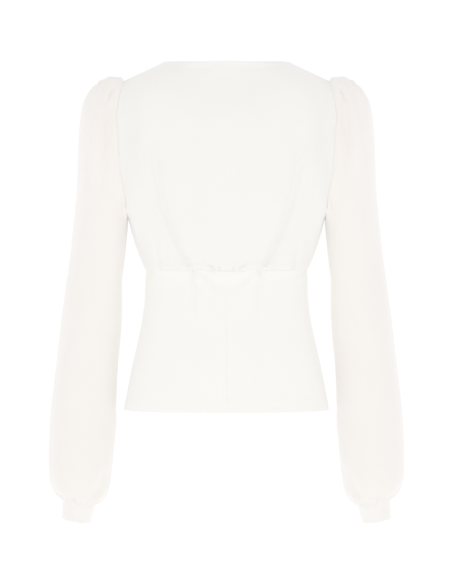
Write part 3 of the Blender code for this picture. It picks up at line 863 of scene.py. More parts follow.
@dataclass(frozen=True)
class BodiceForm:
    """Form of the body above the waist: an ellipse at each height, cut at the armholes.

    Back and fronts turn over to the shoulder seams, and the back more slowly to the neck edge.
    """

    neck_height: float = 15.0 * MM
    neck_half: float = 97.2 * MM
    neck_dip: float = 6.0 * MM
    neck_depth: float = 67.0 * MM
    neck_roll: float = 105.0 * MM
    chest_depth: float = 40.0 * MM
    shoulder_height: float = -15.0 * MM
    shoulder_half: float = 162.0 * MM
    shoulder_roll: float = 55.0 * MM
    underarm_height: float = -232.0 * MM
    waist_height: float = -313.6 * MM
    armhole_depth: float = 48.0 * MM
    rear_edge: tuple[tuple[float, float], ...] = (    # degrees down the armhole, depth behind
        (0, 0.0), (15, 12.6), (30, 24.6), (50, 38.5), (70, 49.5), (90, 54.5), (115, 55.5),
        (135, 54.5), (147, 51.5), (156, 45.5), (164, 35.5), (171, 21.0), (180, 0.0),
    )
    armhole_rows: int = 118
    side_rows: int = 50
    side_crowding: float = 1.3       # how much closer the rows lie at the waist
    rim_power: float = 0.75          # rounding of the neck's edge seen from above
    side_fade: float = 0.03          # share of a row over which folds fade at its ends
    top_fade: float = 0.8 * MM       # and drop over which they fade at the shoulder

    def shoulder_turn(self, drop: np.ndarray) -> np.ndarray:
        """Quarter circle by which a surface falls away from the shoulder, 0 at the seam."""
        fall = np.clip(drop / self.shoulder_roll, 0.0, 1.0)
        return np.sqrt(1 - (1 - fall) ** 2)

    def edge_depth(self, angle: np.ndarray, face: Face) -> np.ndarray:
        """How far the armhole's edge lies behind or in front of the side seam.

        Args:
            angle: Angles down the armhole.
            face: Behind or in front of the side seam.

        Returns:
            The depth at each angle, in metres.
        """
        if face is Face.FRONT:
            return self.armhole_depth * np.sin(angle)
        places, depths = zip(*self.rear_edge)
        return smooth_curve(np.radians(places), np.array(depths) * MM, angle)

    def armhole(self, angle: np.ndarray, face: Face) -> tuple[np.ndarray, np.ndarray, np.ndarray]:
        """Edge of the right armhole, from the shoulder point at angle 0 to the underarm.

        Args:
            angle: Angles down the armhole, an ellipse seen from the side, squarer behind.
            face: Behind or in front of the side seam.

        Returns:
            Its x, its height, and the sweep of the body's ellipse at it.
        """
        angle = np.maximum(angle, LEAST_ANGLE)
        centre = (self.shoulder_height + self.underarm_height) / 2
        z = centre + (self.shoulder_height - centre) * np.cos(angle)
        full = BODICE_SIZES.at(face.value, z) * self.shoulder_turn(self.shoulder_height - z)
        sweep = np.arccos((self.edge_depth(angle, face) / full) ** (1 / squareness(z, face)))
        return BODICE_SIZES.at(f"{face.value}_half", z) * np.sin(sweep), z, sweep

    def rows(self, face: Face) -> Rows:
        """Rows up the side seam, closest at the waist, then up the armhole.

        Args:
            face: Back or front.

        Returns:
            The rows, from the waist up.
        """
        share = np.linspace(0.0, 1.0, self.side_rows + 1)[:-1] ** self.side_crowding
        low = self.waist_height + (self.underarm_height - self.waist_height) * share
        angles = np.linspace(math.pi, 0.0, self.armhole_rows + 1)
        _, high, turn = self.armhole(angles, face)
        height = np.concatenate((low, high))
        sweep = np.concatenate((np.full(len(low), math.pi / 2), turn))
        return Rows(BODICE_SIZES.at(f"{face.value}_half", height), height, sweep)

    def shoulder_seam(self) -> tuple[float, float]:
        """Climb and run of a shoulder seam, from its outer end to the neck."""
        return self.neck_height - self.shoulder_height, self.shoulder_half - self.neck_half

    def neck_place(self, rows: Rows) -> float:
        """Place of the neck point across the shoulder row."""
        return math.asin(self.neck_half / rows.half[-1]) / rows.sweep[-1]

    def rise(self, height: np.ndarray) -> np.ndarray:
        """Share of the shoulder's slope that a row takes, 0 at the underarm."""
        span = self.shoulder_height - self.underarm_height
        return np.clip((height - self.underarm_height) / span, 0.0, 1.0)

    def risen(self, height: np.ndarray) -> np.ndarray:
        """Heights to which rows climb at the sides of the neck, where they stand highest."""
        return height + (self.neck_height - self.shoulder_height) * self.rise(height)

    def surface(self, across: np.ndarray, rows: Rows, face: Face) -> np.ndarray:
        """Points of the back or front surface.

        Args:
            across: Places across each row, from -1 to 1.
            rows: The rows.
            face: Back or front.

        Returns:
            The grid of points, rows first.
        """
        half, height, sweep = (value[:, None] for value in rows)
        reach = np.abs(across)
        x = half * np.sin(reach * sweep) * np.sign(across)
        inside = np.clip(reach / self.neck_place(rows), 0.0, 1.0)
        top_x = half[-1] * np.sin(reach * sweep[-1])
        slope = np.clip((self.shoulder_half - top_x) / (self.shoulder_half - self.neck_half), 0, 1)
        behind = face is Face.BACK
        dip = self.neck_dip * (1 - inside**2) if behind else 0.0
        climb = (self.neck_height - self.shoulder_height) * slope - dip
        z = height + climb * self.rise(height)
        drop = self.shoulder_height + climb - z
        full = BODICE_SIZES.at(face.value, z)
        full = full * np.maximum(np.cos(reach * sweep), 0.0) ** squareness(height, face)
        round_turn = self.shoulder_turn(drop)
        easy_turn = np.sin(np.clip(drop / self.neck_roll, 0.0, 1.0) * math.pi / 2)
        turn = easy_turn + (round_turn - easy_turn) * smooth_step(inside)
        rim = (self.neck_depth if behind else self.chest_depth) * (1 - inside**2) ** self.rim_power
        depth = rim + (full - rim) * turn
        return np.stack((x, -depth if behind else depth, z), axis=2)

    def edge_fade(self, rows: Rows, across: np.ndarray) -> np.ndarray:
        """Share of the folds' height: none at armholes, side seams and shoulders.

        Args:
            rows: The rows.
            across: Places across each row.

        Returns:
            The share at each point.
        """
        side = smooth_step((1 - np.abs(across)) / self.side_fade)
        top = smooth_step((self.shoulder_height - rows.height) / self.top_fade)[:, None]
        return side * top

    def seat(self, points: np.ndarray, *edges: tuple[int, int]) -> None:
        """Leave half the seam's gap at the armholes, along the given side edges.

        Args:
            points: The grid, changed in place.
            edges: The column of each edge, and the next one inside it.
        """
        high = slice(self.side_rows + 1, None)
        for edge, inner in edges:
            step = points[high, inner] - points[high, edge]
            points[high, edge] += unit(step) * HALF_GAP


BODICE = BodiceForm()


@dataclass(frozen=True)
class WaistSeam:
    """What the waist seam does to the cloth above and below it, in millimetres."""

    pressed: float = 0.6              # share of the gathers' height lost where they are sewn
    pressed_reach: float = 2.6
    sag: float = 1.2                  # how far the back's fullness pulls the seam down behind
    middle_sag: float = 1.5           # and how much further between the two long folds
    middle_half: float = 42.0
    middle_ease: float = 12.0
    sag_reach: float = 22.0
    bulk: float = 8.2                 # push of the seam allowances inside
    bulk_above: float = 9.5
    bulk_below: float = 14.0
    side_ease: float = 45.0           # depth over which sag and bulk fade towards the sides

    def sewn_flat(self, z: np.ndarray) -> np.ndarray:
        """Share of the gathers' height: they are pressed flat where they are sewn."""
        near = np.exp(-((z - BODICE.waist_height) / (self.pressed_reach * MM)) ** 2)
        return 1 - self.pressed * near

    def drop(self, points: np.ndarray) -> np.ndarray:
        """How far the cloth hangs lower behind, most at the middle.

        Args:
            points: Points of the cloth.

        Returns:
            The drop at each point, in metres.
        """
        x, y, z = (points[..., axis] for axis in range(3))
        middle = smooth_step((self.middle_half * MM - np.abs(x)) / (self.middle_ease * MM))
        near = np.exp(-((z - BODICE.waist_height) / (self.sag_reach * MM)) ** 2)
        behind = smooth_step(-y / (self.side_ease * MM))
        return (self.sag + self.middle_sag * middle) * MM * near * behind

    def fill(self, points: np.ndarray) -> np.ndarray:
        """The grid, pushed out by the seam allowances inside it, and down behind.

        Args:
            points: The plain grid.

        Returns:
            The moved grid.
        """
        rise, y = points[..., 2] - BODICE.waist_height, points[..., 1]
        rise = rise / np.where(rise > 0, self.bulk_above * MM, self.bulk_below * MM)
        side = smooth_step(np.abs(y) / (self.side_ease * MM)) * np.sign(y)
        push = self.bulk * MM * np.exp(-rise**2) * side
        return points + np.stack((0 * push, push, -self.drop(points)), axis=-1)


WAIST = WaistSeam()


def body_axis(points: np.ndarray) -> np.ndarray:
    """The body's middle line at the height of each point."""
    return points * np.array([0.0, 0.0, 1.0])


@dataclass
class BodiceBack(SewnPiece):
    """The back, cut in one piece, gathered into the waist with a long fold on each side."""

    inner_columns: int = 58
    outer_columns: int = 44
    crowding: float = 1.35           # how much closer the columns lie at the long folds
    late_share: float = 0.75         # how late they bend in to the armhole, and at most
    late_limit: float = 5.0
    left_shift: float = 0.8 * MM     # the left folds lie this much nearer to the middle
    left_ease: float = 60 * MM
    left_share: float = 0.93         # and are a little shallower
    full_below: float = -150 * MM    # height where the fullness behind the side seams starts
    full_run: float = 40 * MM
    full_edge: float = 8 * MM        # width beside the seams over which it starts
    neck_ease: float = 0.05          # share of the neck over which its roll opens
    side_halves: tuple[tuple[float, float], ...] = (     # height, half width without the armpit
        (-313.6, 127.6), (-290, 138.2), (-272, 147.5), (-255, 156.0), (-238, 162.4),
        (-222, 168.0), (-214, 170.6), (-200, 173.3), (-170, 180.0), (-142, 188.0), (-116, 196.0),
    )

    main_fold: Fold = Fold((116, -104), (114, -226), (55, -314), (6.0, 3.2), (-3.0, -7.8, -6.6),
                           lean=-0.25)
    folds: tuple[Fold, ...] = (
        Fold((109, -112), (104, -226), (50, -314), (10, 8), (-1.4, -2.6, -2.6)),
        Fold((125, -120), (123, -226), (64, -312), (5.5, 4.2), (0.6, 3.0, 3.0)),
        Fold((141, -160), (137, -215), (118, -262), (9, 9), (-1.2, -1.6, -2.0)),
        Fold((133, -232), (120, -268), (112, -300), (7, 7), (0.0, 1.2, 1.0)),
        Fold((112, -274), (108, -296), (105.5, -313), (2.8, 2.4), (-0.6, -3.2, -3.4)),
        Fold((101, -276), (100, -296), (99, -312), (3.4, 3.2), (0.2, 1.3, 1.2)),
        Fold((32, -297), (27, -304), (20, -312.5), (2.4, 2.6), (-0.6, -5.0, -9.0)),
        Fold((13, -303), (12, -308), (10.5, -313), (2.0, 2.2), (-0.4, -4.6, -9.0)),
        Fold((43, -298), (38, -305), (34, -313), (3.4, 3.0), (0.0, -1.4, -2.0)),
        Fold((80, -300), (79, -308), (78, -314), (5, 4), (0.0, -0.7, -1.6)),
        Fold((163, -40), (168, -112), (160, -190), (10, 12), (-3.0, -5.5, -0.8)),
        Fold((150, -22), (153, -92), (148, -172), (16, 13), (-3.4, -7.6, -1.2)),
        Fold((128, -52), (137, -115), (134, -185), (13, 13), (0.4, 2.4, 1.0)),
        Fold((20, 3), (52, -6), (88, 8), (6, 5), (-0.5, -1.7, -0.3)),
    )
    centre_fold: Fold = Fold((1.5, -303), (0.8, -309), (0, -314), (3.0, 3.0), (0.0, -0.8, -1.8))
    waist_gathers: Gathers = Gathers(13, -50, 50, 2.2, 1.6, 7.0, seed=11)
    waves: SoftWaves = SoftWaves(depth=0.2, length=90, seed=5)

    def places(self, rows: Rows) -> np.ndarray:
        """Places across, a row for each level; one column on each side follows the long fold.

        Args:
            rows: The rows.

        Returns:
            The places, from -1 to 1.
        """
        line = self.main_fold.line()[::-1]
        z = BODICE.risen(rows.height)
        x = np.interp(z, np.append(line[:, 1], BODICE.neck_height),
                      np.append(line[:, 0], BODICE.neck_half))
        guide, sweep = np.arcsin(x / rows.half)[:, None], rows.sweep[:, None]
        inner = 1 - (1 - np.linspace(0.0, 1.0, self.inner_columns + 1)) ** self.crowding
        outer = np.linspace(0.0, 1.0, self.outer_columns + 1)[1:] ** self.crowding
        span, short = math.pi / 2 - guide, math.pi / 2 - sweep
        late = self.late_share * span / np.maximum(short, LEAST_TURN)
        late = outer ** np.clip(late, 1.0, self.late_limit)
        beyond = guide + span * outer - short * late
        right = np.concatenate((guide * inner, beyond), axis=1) / sweep
        return np.concatenate((-right[:, :0:-1], right), axis=1)

    def relief(self, points: np.ndarray) -> np.ndarray:
        """Height of the folds and gathers; the left half differs a little from the right.

        Args:
            points: The plain surface.

        Returns:
            The height at each point, in metres.
        """
        x, z = points[..., 0], points[..., 2]
        left = x < 0
        shift = np.where(left, self.left_shift, 0.0) * smooth_step(np.abs(x) / self.left_ease)
        side_x = np.abs(x) + shift
        height = fold_height((self.main_fold, *self.folds), side_x, z)
        height *= np.where(left, self.left_share, 1.0)
        height += self.centre_fold.height(x, z)
        height += self.waist_gathers.height(x, z - BODICE.waist_height)
        return (height + self.waves.height(x, z)) * WAIST.sewn_flat(z)

    def fill_side(self, points: np.ndarray) -> np.ndarray:
        """The grid with its cloth full behind the side seams, where the sleeves rest on it.

        Args:
            points: The plain surface.

        Returns:
            The moved grid.
        """
        reach, z = np.abs(points[..., 0]), points[..., 2]
        heights, halves = (np.array(column) * MM for column in zip(*self.side_halves))
        cosine = np.sqrt(np.maximum(1 - (reach / smooth_curve(heights, halves, z)) ** 2, 0.0))
        full = BODICE_SIZES.at("back", z) * cosine ** squareness(z, Face.BACK)
        level = smooth_step((self.full_below - z) / self.full_run)
        side = smooth_step((reach[:, -1:] - reach) / self.full_edge) * level
        push = np.maximum(full + points[..., 1], 0.0) * side
        return points - push[..., None] * np.array([0.0, 1.0, 0.0])

    def build(self) -> bpy.types.Object:
        """Make the back.

        Returns:
            Its shell.
        """
        rows = BODICE.rows(Face.BACK)
        across = self.places(rows)
        points = self.fill_side(BODICE.surface(across, rows, Face.BACK))
        seam = BODICE.waist_height - WAIST.drop(points[0])
        fade = BODICE.edge_fade(rows, across)
        points = raise_by(WAIST.fill(points), self.relief(points) * fade, body_axis(points))
        points[0, :, 2] = seam + HALF_GAP
        low = slice(0, BODICE.side_rows + 1)
        points[low, 0, 1] = points[low, -1, 1] = -HALF_GAP
        shoulder = np.abs(across[-1]) >= BODICE.neck_place(rows) - LEAST_TURN
        points[-1, shoulder, 1] = -HALF_GAP
        BODICE.seat(points, (0, 1), (-1, -2))
        neck = smooth_step((1 - np.abs(points[-1, :, 0]) / BODICE.neck_half) / self.neck_ease)
        edges = Edges(bottom=SEAM_EDGE, top=TURNED_EDGE, start=SEAM_EDGE, end=SEAM_EDGE,
                      top_open=neck)
        return self.shell(points, body_axis(points), edges)


@dataclass
class BodiceFront(SewnPiece):
    """A front: gathered at shoulder and waist, its edge crossing to the other side's waist."""

    side: Side = Side.RIGHT
    wrap_end: float = -88.0 * MM
    wrap_hollow: float = 9.0 * MM
    lap: float = 2.8 * MM             # how far the under front lies inside the other
    waist_lap: float = 3.0 * MM       # and how much further below the underarm
    lap_run: float = 50 * MM
    lap_end: float = 0.16             # place across where the lap ends, less its edge
    lap_ease: float = 0.12
    lapped_calm: float = 0.75         # share of the folds' height lost where it is covered
    least_single: float = 0.25        # least share of a row that lies past the lap
    lapped_columns: int = 92
    single_columns: int = 44
    folds: tuple[Fold, ...] = (
        Fold((110, 4), (104, -70), (76, -150), (4.5, 13), (-3.0, -2.0, 0.0)),
        Fold((124, -2), (122, -80), (104, -175), (4.5, 14), (-3.2, -2.2, 0.0)),
        Fold((139, -8), (139, -80), (128, -165), (4.5, 12), (-2.8, -1.8, 0.0)),
        Fold((117, 1), (113, -60), (92, -130), (4.5, 10), (1.6, 1.4, 0.0)),
        Fold((131, -5), (131, -60), (118, -140), (4.5, 10), (1.6, 1.4, 0.0)),
        Fold((-70, -312), (-20, -262), (60, -206), (5, 15), (-3.6, -2.4, 0.0)),
        Fold((-48, -312), (4, -258), (84, -214), (5, 14), (-3.0, -2.0, 0.0)),
        Fold((-22, -313), (30, -262), (104, -226), (5, 13), (-2.6, -1.7, 0.0)),
        Fold((10, -313), (52, -272), (118, -244), (5, 12), (-2.4, -1.5, 0.0)),
        Fold((44, -313), (76, -282), (126, -262), (5, 10), (-2.2, -1.2, 0.0)),
        Fold((145, -13), (145, -20), (143, -40), (2.6, 5.0), (3.6, 3.2, 0.4)),
        Fold((153, -16), (153, -24), (151, -44), (2.4, 5.0), (3.0, 2.8, 0.4)),
        Fold((135, -8), (135, -16), (133, -36), (2.6, 5.0), (2.2, 2.2, 0.4)),
        Fold((-60, -312), (-8, -258), (70, -205), (4.5, 12), (1.8, 1.6, 0.0)),
        Fold((-34, -313), (16, -260), (92, -218), (4.5, 12), (1.6, 1.4, 0.0)),
    )
    waist_gathers: Gathers = Gathers(19, -86, 112, 3.0, 1.9, 26.0, seed=21, slant=0.5)
    shoulder_gathers: Gathers = Gathers(8, 102, 150, 2.2, 1.5, 20.0, seed=23)
    waves: SoftWaves = SoftWaves(depth=0.5, length=90, seed=9)

    @property
    def over(self) -> bool:
        """Whether this front lies on the other one."""
        return self.side is Side.RIGHT

    def wrap_edge(self, rows: Rows) -> np.ndarray:
        """Where the wrap edge of the right front crosses each row, as a place across.

        Args:
            rows: The rows.

        Returns:
            The place at each row.
        """
        z = BODICE.risen(rows.height)
        share = (z - BODICE.waist_height) / (BODICE.neck_height - BODICE.waist_height)
        x = self.wrap_end + (BODICE.neck_half - self.wrap_end) * share
        x = x + self.wrap_hollow * np.sin(math.pi * share)
        return np.arcsin(x / rows.half) / rows.sweep

    def places(self, edge: np.ndarray) -> np.ndarray:
        """Places across a front from its wrap edge to its side, a row for each level.

        Args:
            edge: The wrap edge's place in each row, as a column.

        Returns:
            The places, from the wrap edge to 1.
        """
        lapped_end = np.maximum(-edge, edge + self.least_single * (1 - edge))
        share = np.linspace(0.0, 1.0, self.lapped_columns + 1)[None, :]
        lapped = edge + (lapped_end - edge) * share
        share = np.linspace(0.0, 1.0, self.single_columns + 1)[None, 1:]
        return np.concatenate((lapped, lapped_end + (1 - lapped_end) * share), axis=1)

    def relief(self, points: np.ndarray, edge: np.ndarray, across: np.ndarray) -> np.ndarray:
        """Height of the folds and gathers, and how far the under front lies inside.

        Args:
            points: The plain surface of the right front.
            edge: The wrap edge's place across in each row.
            across: Places across.

        Returns:
            The height at each point, in metres.
        """
        x, z = points[..., 0], points[..., 2]
        lapped = smooth_step((self.lap_end - edge - across) / self.lap_ease)
        height = fold_height(self.folds, x, z)
        height += self.waist_gathers.height(x, z - BODICE.waist_height)
        climb, run = BODICE.shoulder_seam()
        slope = climb / run
        seam = BODICE.shoulder_height + (BODICE.shoulder_half - x) * slope
        height += self.shoulder_gathers.height(x, np.maximum(seam - z, 0.0))
        height += self.waves.height(x, z)
        height *= WAIST.sewn_flat(z)
        if self.over:
            return height
        low = smooth_step((BODICE.underarm_height - z) / self.lap_run)
        inside = (self.lap + self.waist_lap * low) * lapped
        return height * (1 - self.lapped_calm * lapped) - inside

    def build(self) -> bpy.types.Object:
        """Make the front.

        Returns:
            Its shell.
        """
        rows = BODICE.rows(Face.FRONT)
        edge = self.wrap_edge(rows)[:, None]
        across = self.places(edge)
        points = BODICE.surface(across, rows, Face.FRONT)
        height = self.relief(points, edge, across) * BODICE.edge_fade(rows, across)
        points = raise_by(WAIST.fill(points), height, body_axis(points))
        points[0, :, 2] = BODICE.waist_height + HALF_GAP
        points[:BODICE.side_rows + 1, -1, 1] = HALF_GAP
        points[-1, :, 1] = HALF_GAP
        BODICE.seat(points, (-1, -2))
        put_on_side(self.side, points)
        edges = Edges(bottom=SEAM_EDGE, top=SEAM_EDGE, start=TURNED_EDGE, end=SEAM_EDGE)
        return self.shell(points, body_axis(points), edges)


@dataclass(frozen=True)
class BasqueForm:
    """Form of the body below the waist: half ellipses that flare towards the hem."""

    waist_height: float = -313.6 * MM
    hem_height: float = -533.0 * MM
    princess_at_waist: float = 53.5 * MM
    princess_at_hem: float = 41.0 * MM
    rows: int = 112

    def heights(self) -> np.ndarray:
        """Heights of the rows, from hem to waist."""
        return np.linspace(self.hem_height, self.waist_height, self.rows + 1)

    def surface(self, angles: np.ndarray) -> np.ndarray:
        """Points at the angles from centre back, a row for each height.

        Args:
            angles: Angles, a row for each height.

        Returns:
            The grid of points, hem first.
        """
        z = self.heights()
        half, back, front = (
            BASQUE_SIZES.at(name, z)[:, None] for name in ("half_width", "back", "front")
        )
        x = half * np.sin(angles)
        turn = np.cos(angles)
        rear = back * np.maximum(turn, 0.0) ** squareness(z, Face.BACK)[:, None]
        y = -np.where(turn > 0, rear, front * turn)
        return np.stack((x, y, np.broadcast_to(z[:, None], x.shape)), axis=2)

    def princess(self) -> np.ndarray:
        """Angle of the seam between centre and side panels, a row for each height.

        Returns:
            The angles, as a column.
        """
        share = np.linspace(1.0, 0.0, self.rows + 1)
        x = self.princess_at_waist + (self.princess_at_hem - self.princess_at_waist) * share
        return np.arcsin(x / BASQUE_SIZES.at("half_width", self.heights()))[:, None]


BASQUE = BasqueForm()


class PanelPlace(Enum):
    """The panels of the basque."""

    CENTRE = "centre"
    SIDE = "side"
    FRONT = "front"


@dataclass
class BasquePanel(SewnPiece):
    """A panel of the basque, flared from the waist seam to a turned-up hem."""

    place: PanelPlace = PanelPlace.CENTRE
    side: Side = Side.RIGHT
    columns: int = 30
    folds: tuple[Fold, ...] = (
        Fold((53.5, -316), (52, -340), (47.5, -390), (4.2, 6.0), (-8.5, -6.0, 0.0)),
        Fold((47, -319), (36, -333), (8, -362), (3.4, 6.0), (2.6, 2.6, 0.4)),
        Fold((40, -317), (27, -324), (9, -342), (3.8, 5.0), (-3.6, -3.6, -0.4)),
        Fold((0, -316), (0, -360), (0, -440), (3.2, 3.2), (0.9, 1.0, 0.3)),
        Fold((0, -334), (0, -430), (0, -533), (1.5, 1.5), (0.0, -1.3, -1.4)),
        Fold((60, -318), (64, -345), (66, -385), (4.5, 9), (1.4, 1.0, 0.0)),
        Fold((122, -318), (98, -322), (70, -330), (4.5, 6), (-3.4, -4.0, -0.6)),
        Fold((0, -372), (0, -450), (0, -533), (14, 36), (0.0, 2.4, 4.4)),
        Fold((45, -420), (46, -480), (52, -533), (7, 12), (0.0, 1.3, 2.0)),
        Fold((30, -372), (40, -420), (56, -470), (9, 14), (0.0, -1.4, 0.0)),
        Fold((92, -420), (96, -480), (98, -533), (14, 20), (0.0, -0.8, -2.0)),
        Fold((124, -400), (130, -470), (134, -533), (10, 14), (0.0, 0.7, 1.4)),
    )
    waves: SoftWaves = SoftWaves(depth=0.3, length=80, seed=31)
    hem_turn: float = 20.0 * MM
    hem_rise: float = 0.5 * MM        # the turned-up cloth shows as a slight step
    hem_step: float = 2 * MM
    front_share: float = 0.55         # height of the folds in front, where none is known
    rear_more: float = 0.45           # and what is added to it behind
    rear_ease: float = 30 * MM
    wave_ease: float = 25 * MM        # depth over which the waves fade at the side seams

    def angles(self) -> np.ndarray:
        """Angles from centre back, a row for each height.

        Returns:
            The panel's angles, from its first edge to its last.
        """
        princess = BASQUE.princess()
        zero, quarter = np.zeros_like(princess), np.full_like(princess, math.pi / 2)
        first, last = {
            PanelPlace.CENTRE: (zero, princess),
            PanelPlace.SIDE: (princess, quarter),
            PanelPlace.FRONT: (quarter, 3 * quarter),
        }[self.place]
        return first + (last - first) * np.linspace(0.0, 1.0, self.columns + 1)[None, :]

    def seat(self, points: np.ndarray, sag: np.ndarray) -> None:
        """Leave half the seam's gap at each edge that meets another piece.

        Args:
            points: The grid, changed in place.
            sag: How far the waist seam hangs down at each column.
        """
        points[-1, :, 2] = BASQUE.waist_height - sag - HALF_GAP
        if self.place is PanelPlace.CENTRE:
            points[:, 0, 0] = HALF_GAP
        if self.place is PanelPlace.SIDE:
            points[:, -1, 1] = -HALF_GAP
        if self.place is PanelPlace.FRONT:
            points[:, 0, 1] = points[:, -1, 1] = HALF_GAP
            return
        edge, inner = (-1, -2) if self.place is PanelPlace.CENTRE else (0, 1)
        points[:, edge] += unit(points[:, inner] - points[:, edge]) * HALF_GAP

    def build(self) -> bpy.types.Object:
        """Make the panel.

        Returns:
            Its shell.
        """
        points = BASQUE.surface(self.angles())
        x, y, z = (points[..., axis] for axis in range(3))
        rear = smooth_step(0.5 - y / self.rear_ease)
        height = fold_height(self.folds, np.abs(x), z) * (self.front_share + self.rear_more * rear)
        waves = self.waves.height(x * self.side.value, z)
        height += waves * smooth_step(np.abs(y) / self.wave_ease)
        turned = (BASQUE.hem_height + self.hem_turn - z) / self.hem_step
        height += self.hem_rise * smooth_step(turned)
        sag = WAIST.drop(points[-1])
        points = raise_by(WAIST.fill(points), height, body_axis(points))
        self.seat(points, sag)
        put_on_side(self.side, points)
        seam = SEAM_EDGE if self.place is PanelPlace.FRONT else FINE_SEAM_EDGE
        edges = Edges(bottom=HEM_EDGE, top=SEAM_EDGE, start=seam, end=seam)
        return self.shell(points, body_axis(points), edges)


@dataclass(frozen=True)
class CuffForm:
    """Place and form of the right cuff, which leans out with the forearm."""

    height: float = 28.0 * MM
    top_half: tuple[float, float] = (26.0 * MM, 31.0 * MM)     # across, and front to back
    foot_half: tuple[float, float] = (22.3 * MM, 29.0 * MM)
    lean: float = math.radians(9.9)

    @property
    def along(self) -> np.ndarray:
        """Direction down the cuff."""
        return np.array([math.sin(self.lean), 0.0, -math.cos(self.lean)])

    @property
    def across(self) -> np.ndarray:
        """Direction outwards across the cuff."""
        return np.array([math.cos(self.lean), 0.0, math.sin(self.lean)])

    @property
    def top(self) -> np.ndarray:
        """Centre of the cuff's upper edge.

        Returns:
            The point, in metres.
        """
        foot = SLEEVE_SIZES.rows[-1]
        x, z = foot.outer_x + foot.inner_x, foot.outer_z + foot.inner_z
        return np.array([x / 2, 0.0, z / 2]) * MM


CUFF = CuffForm()


class Pleat(NamedTuple):
    """A pleat of the sleeve's head: degrees round it, stations along it and millimetres."""

    angle: float
    end_angle: float
    reach: float
    width: float
    end_width: float
    depth: float
    peak: float


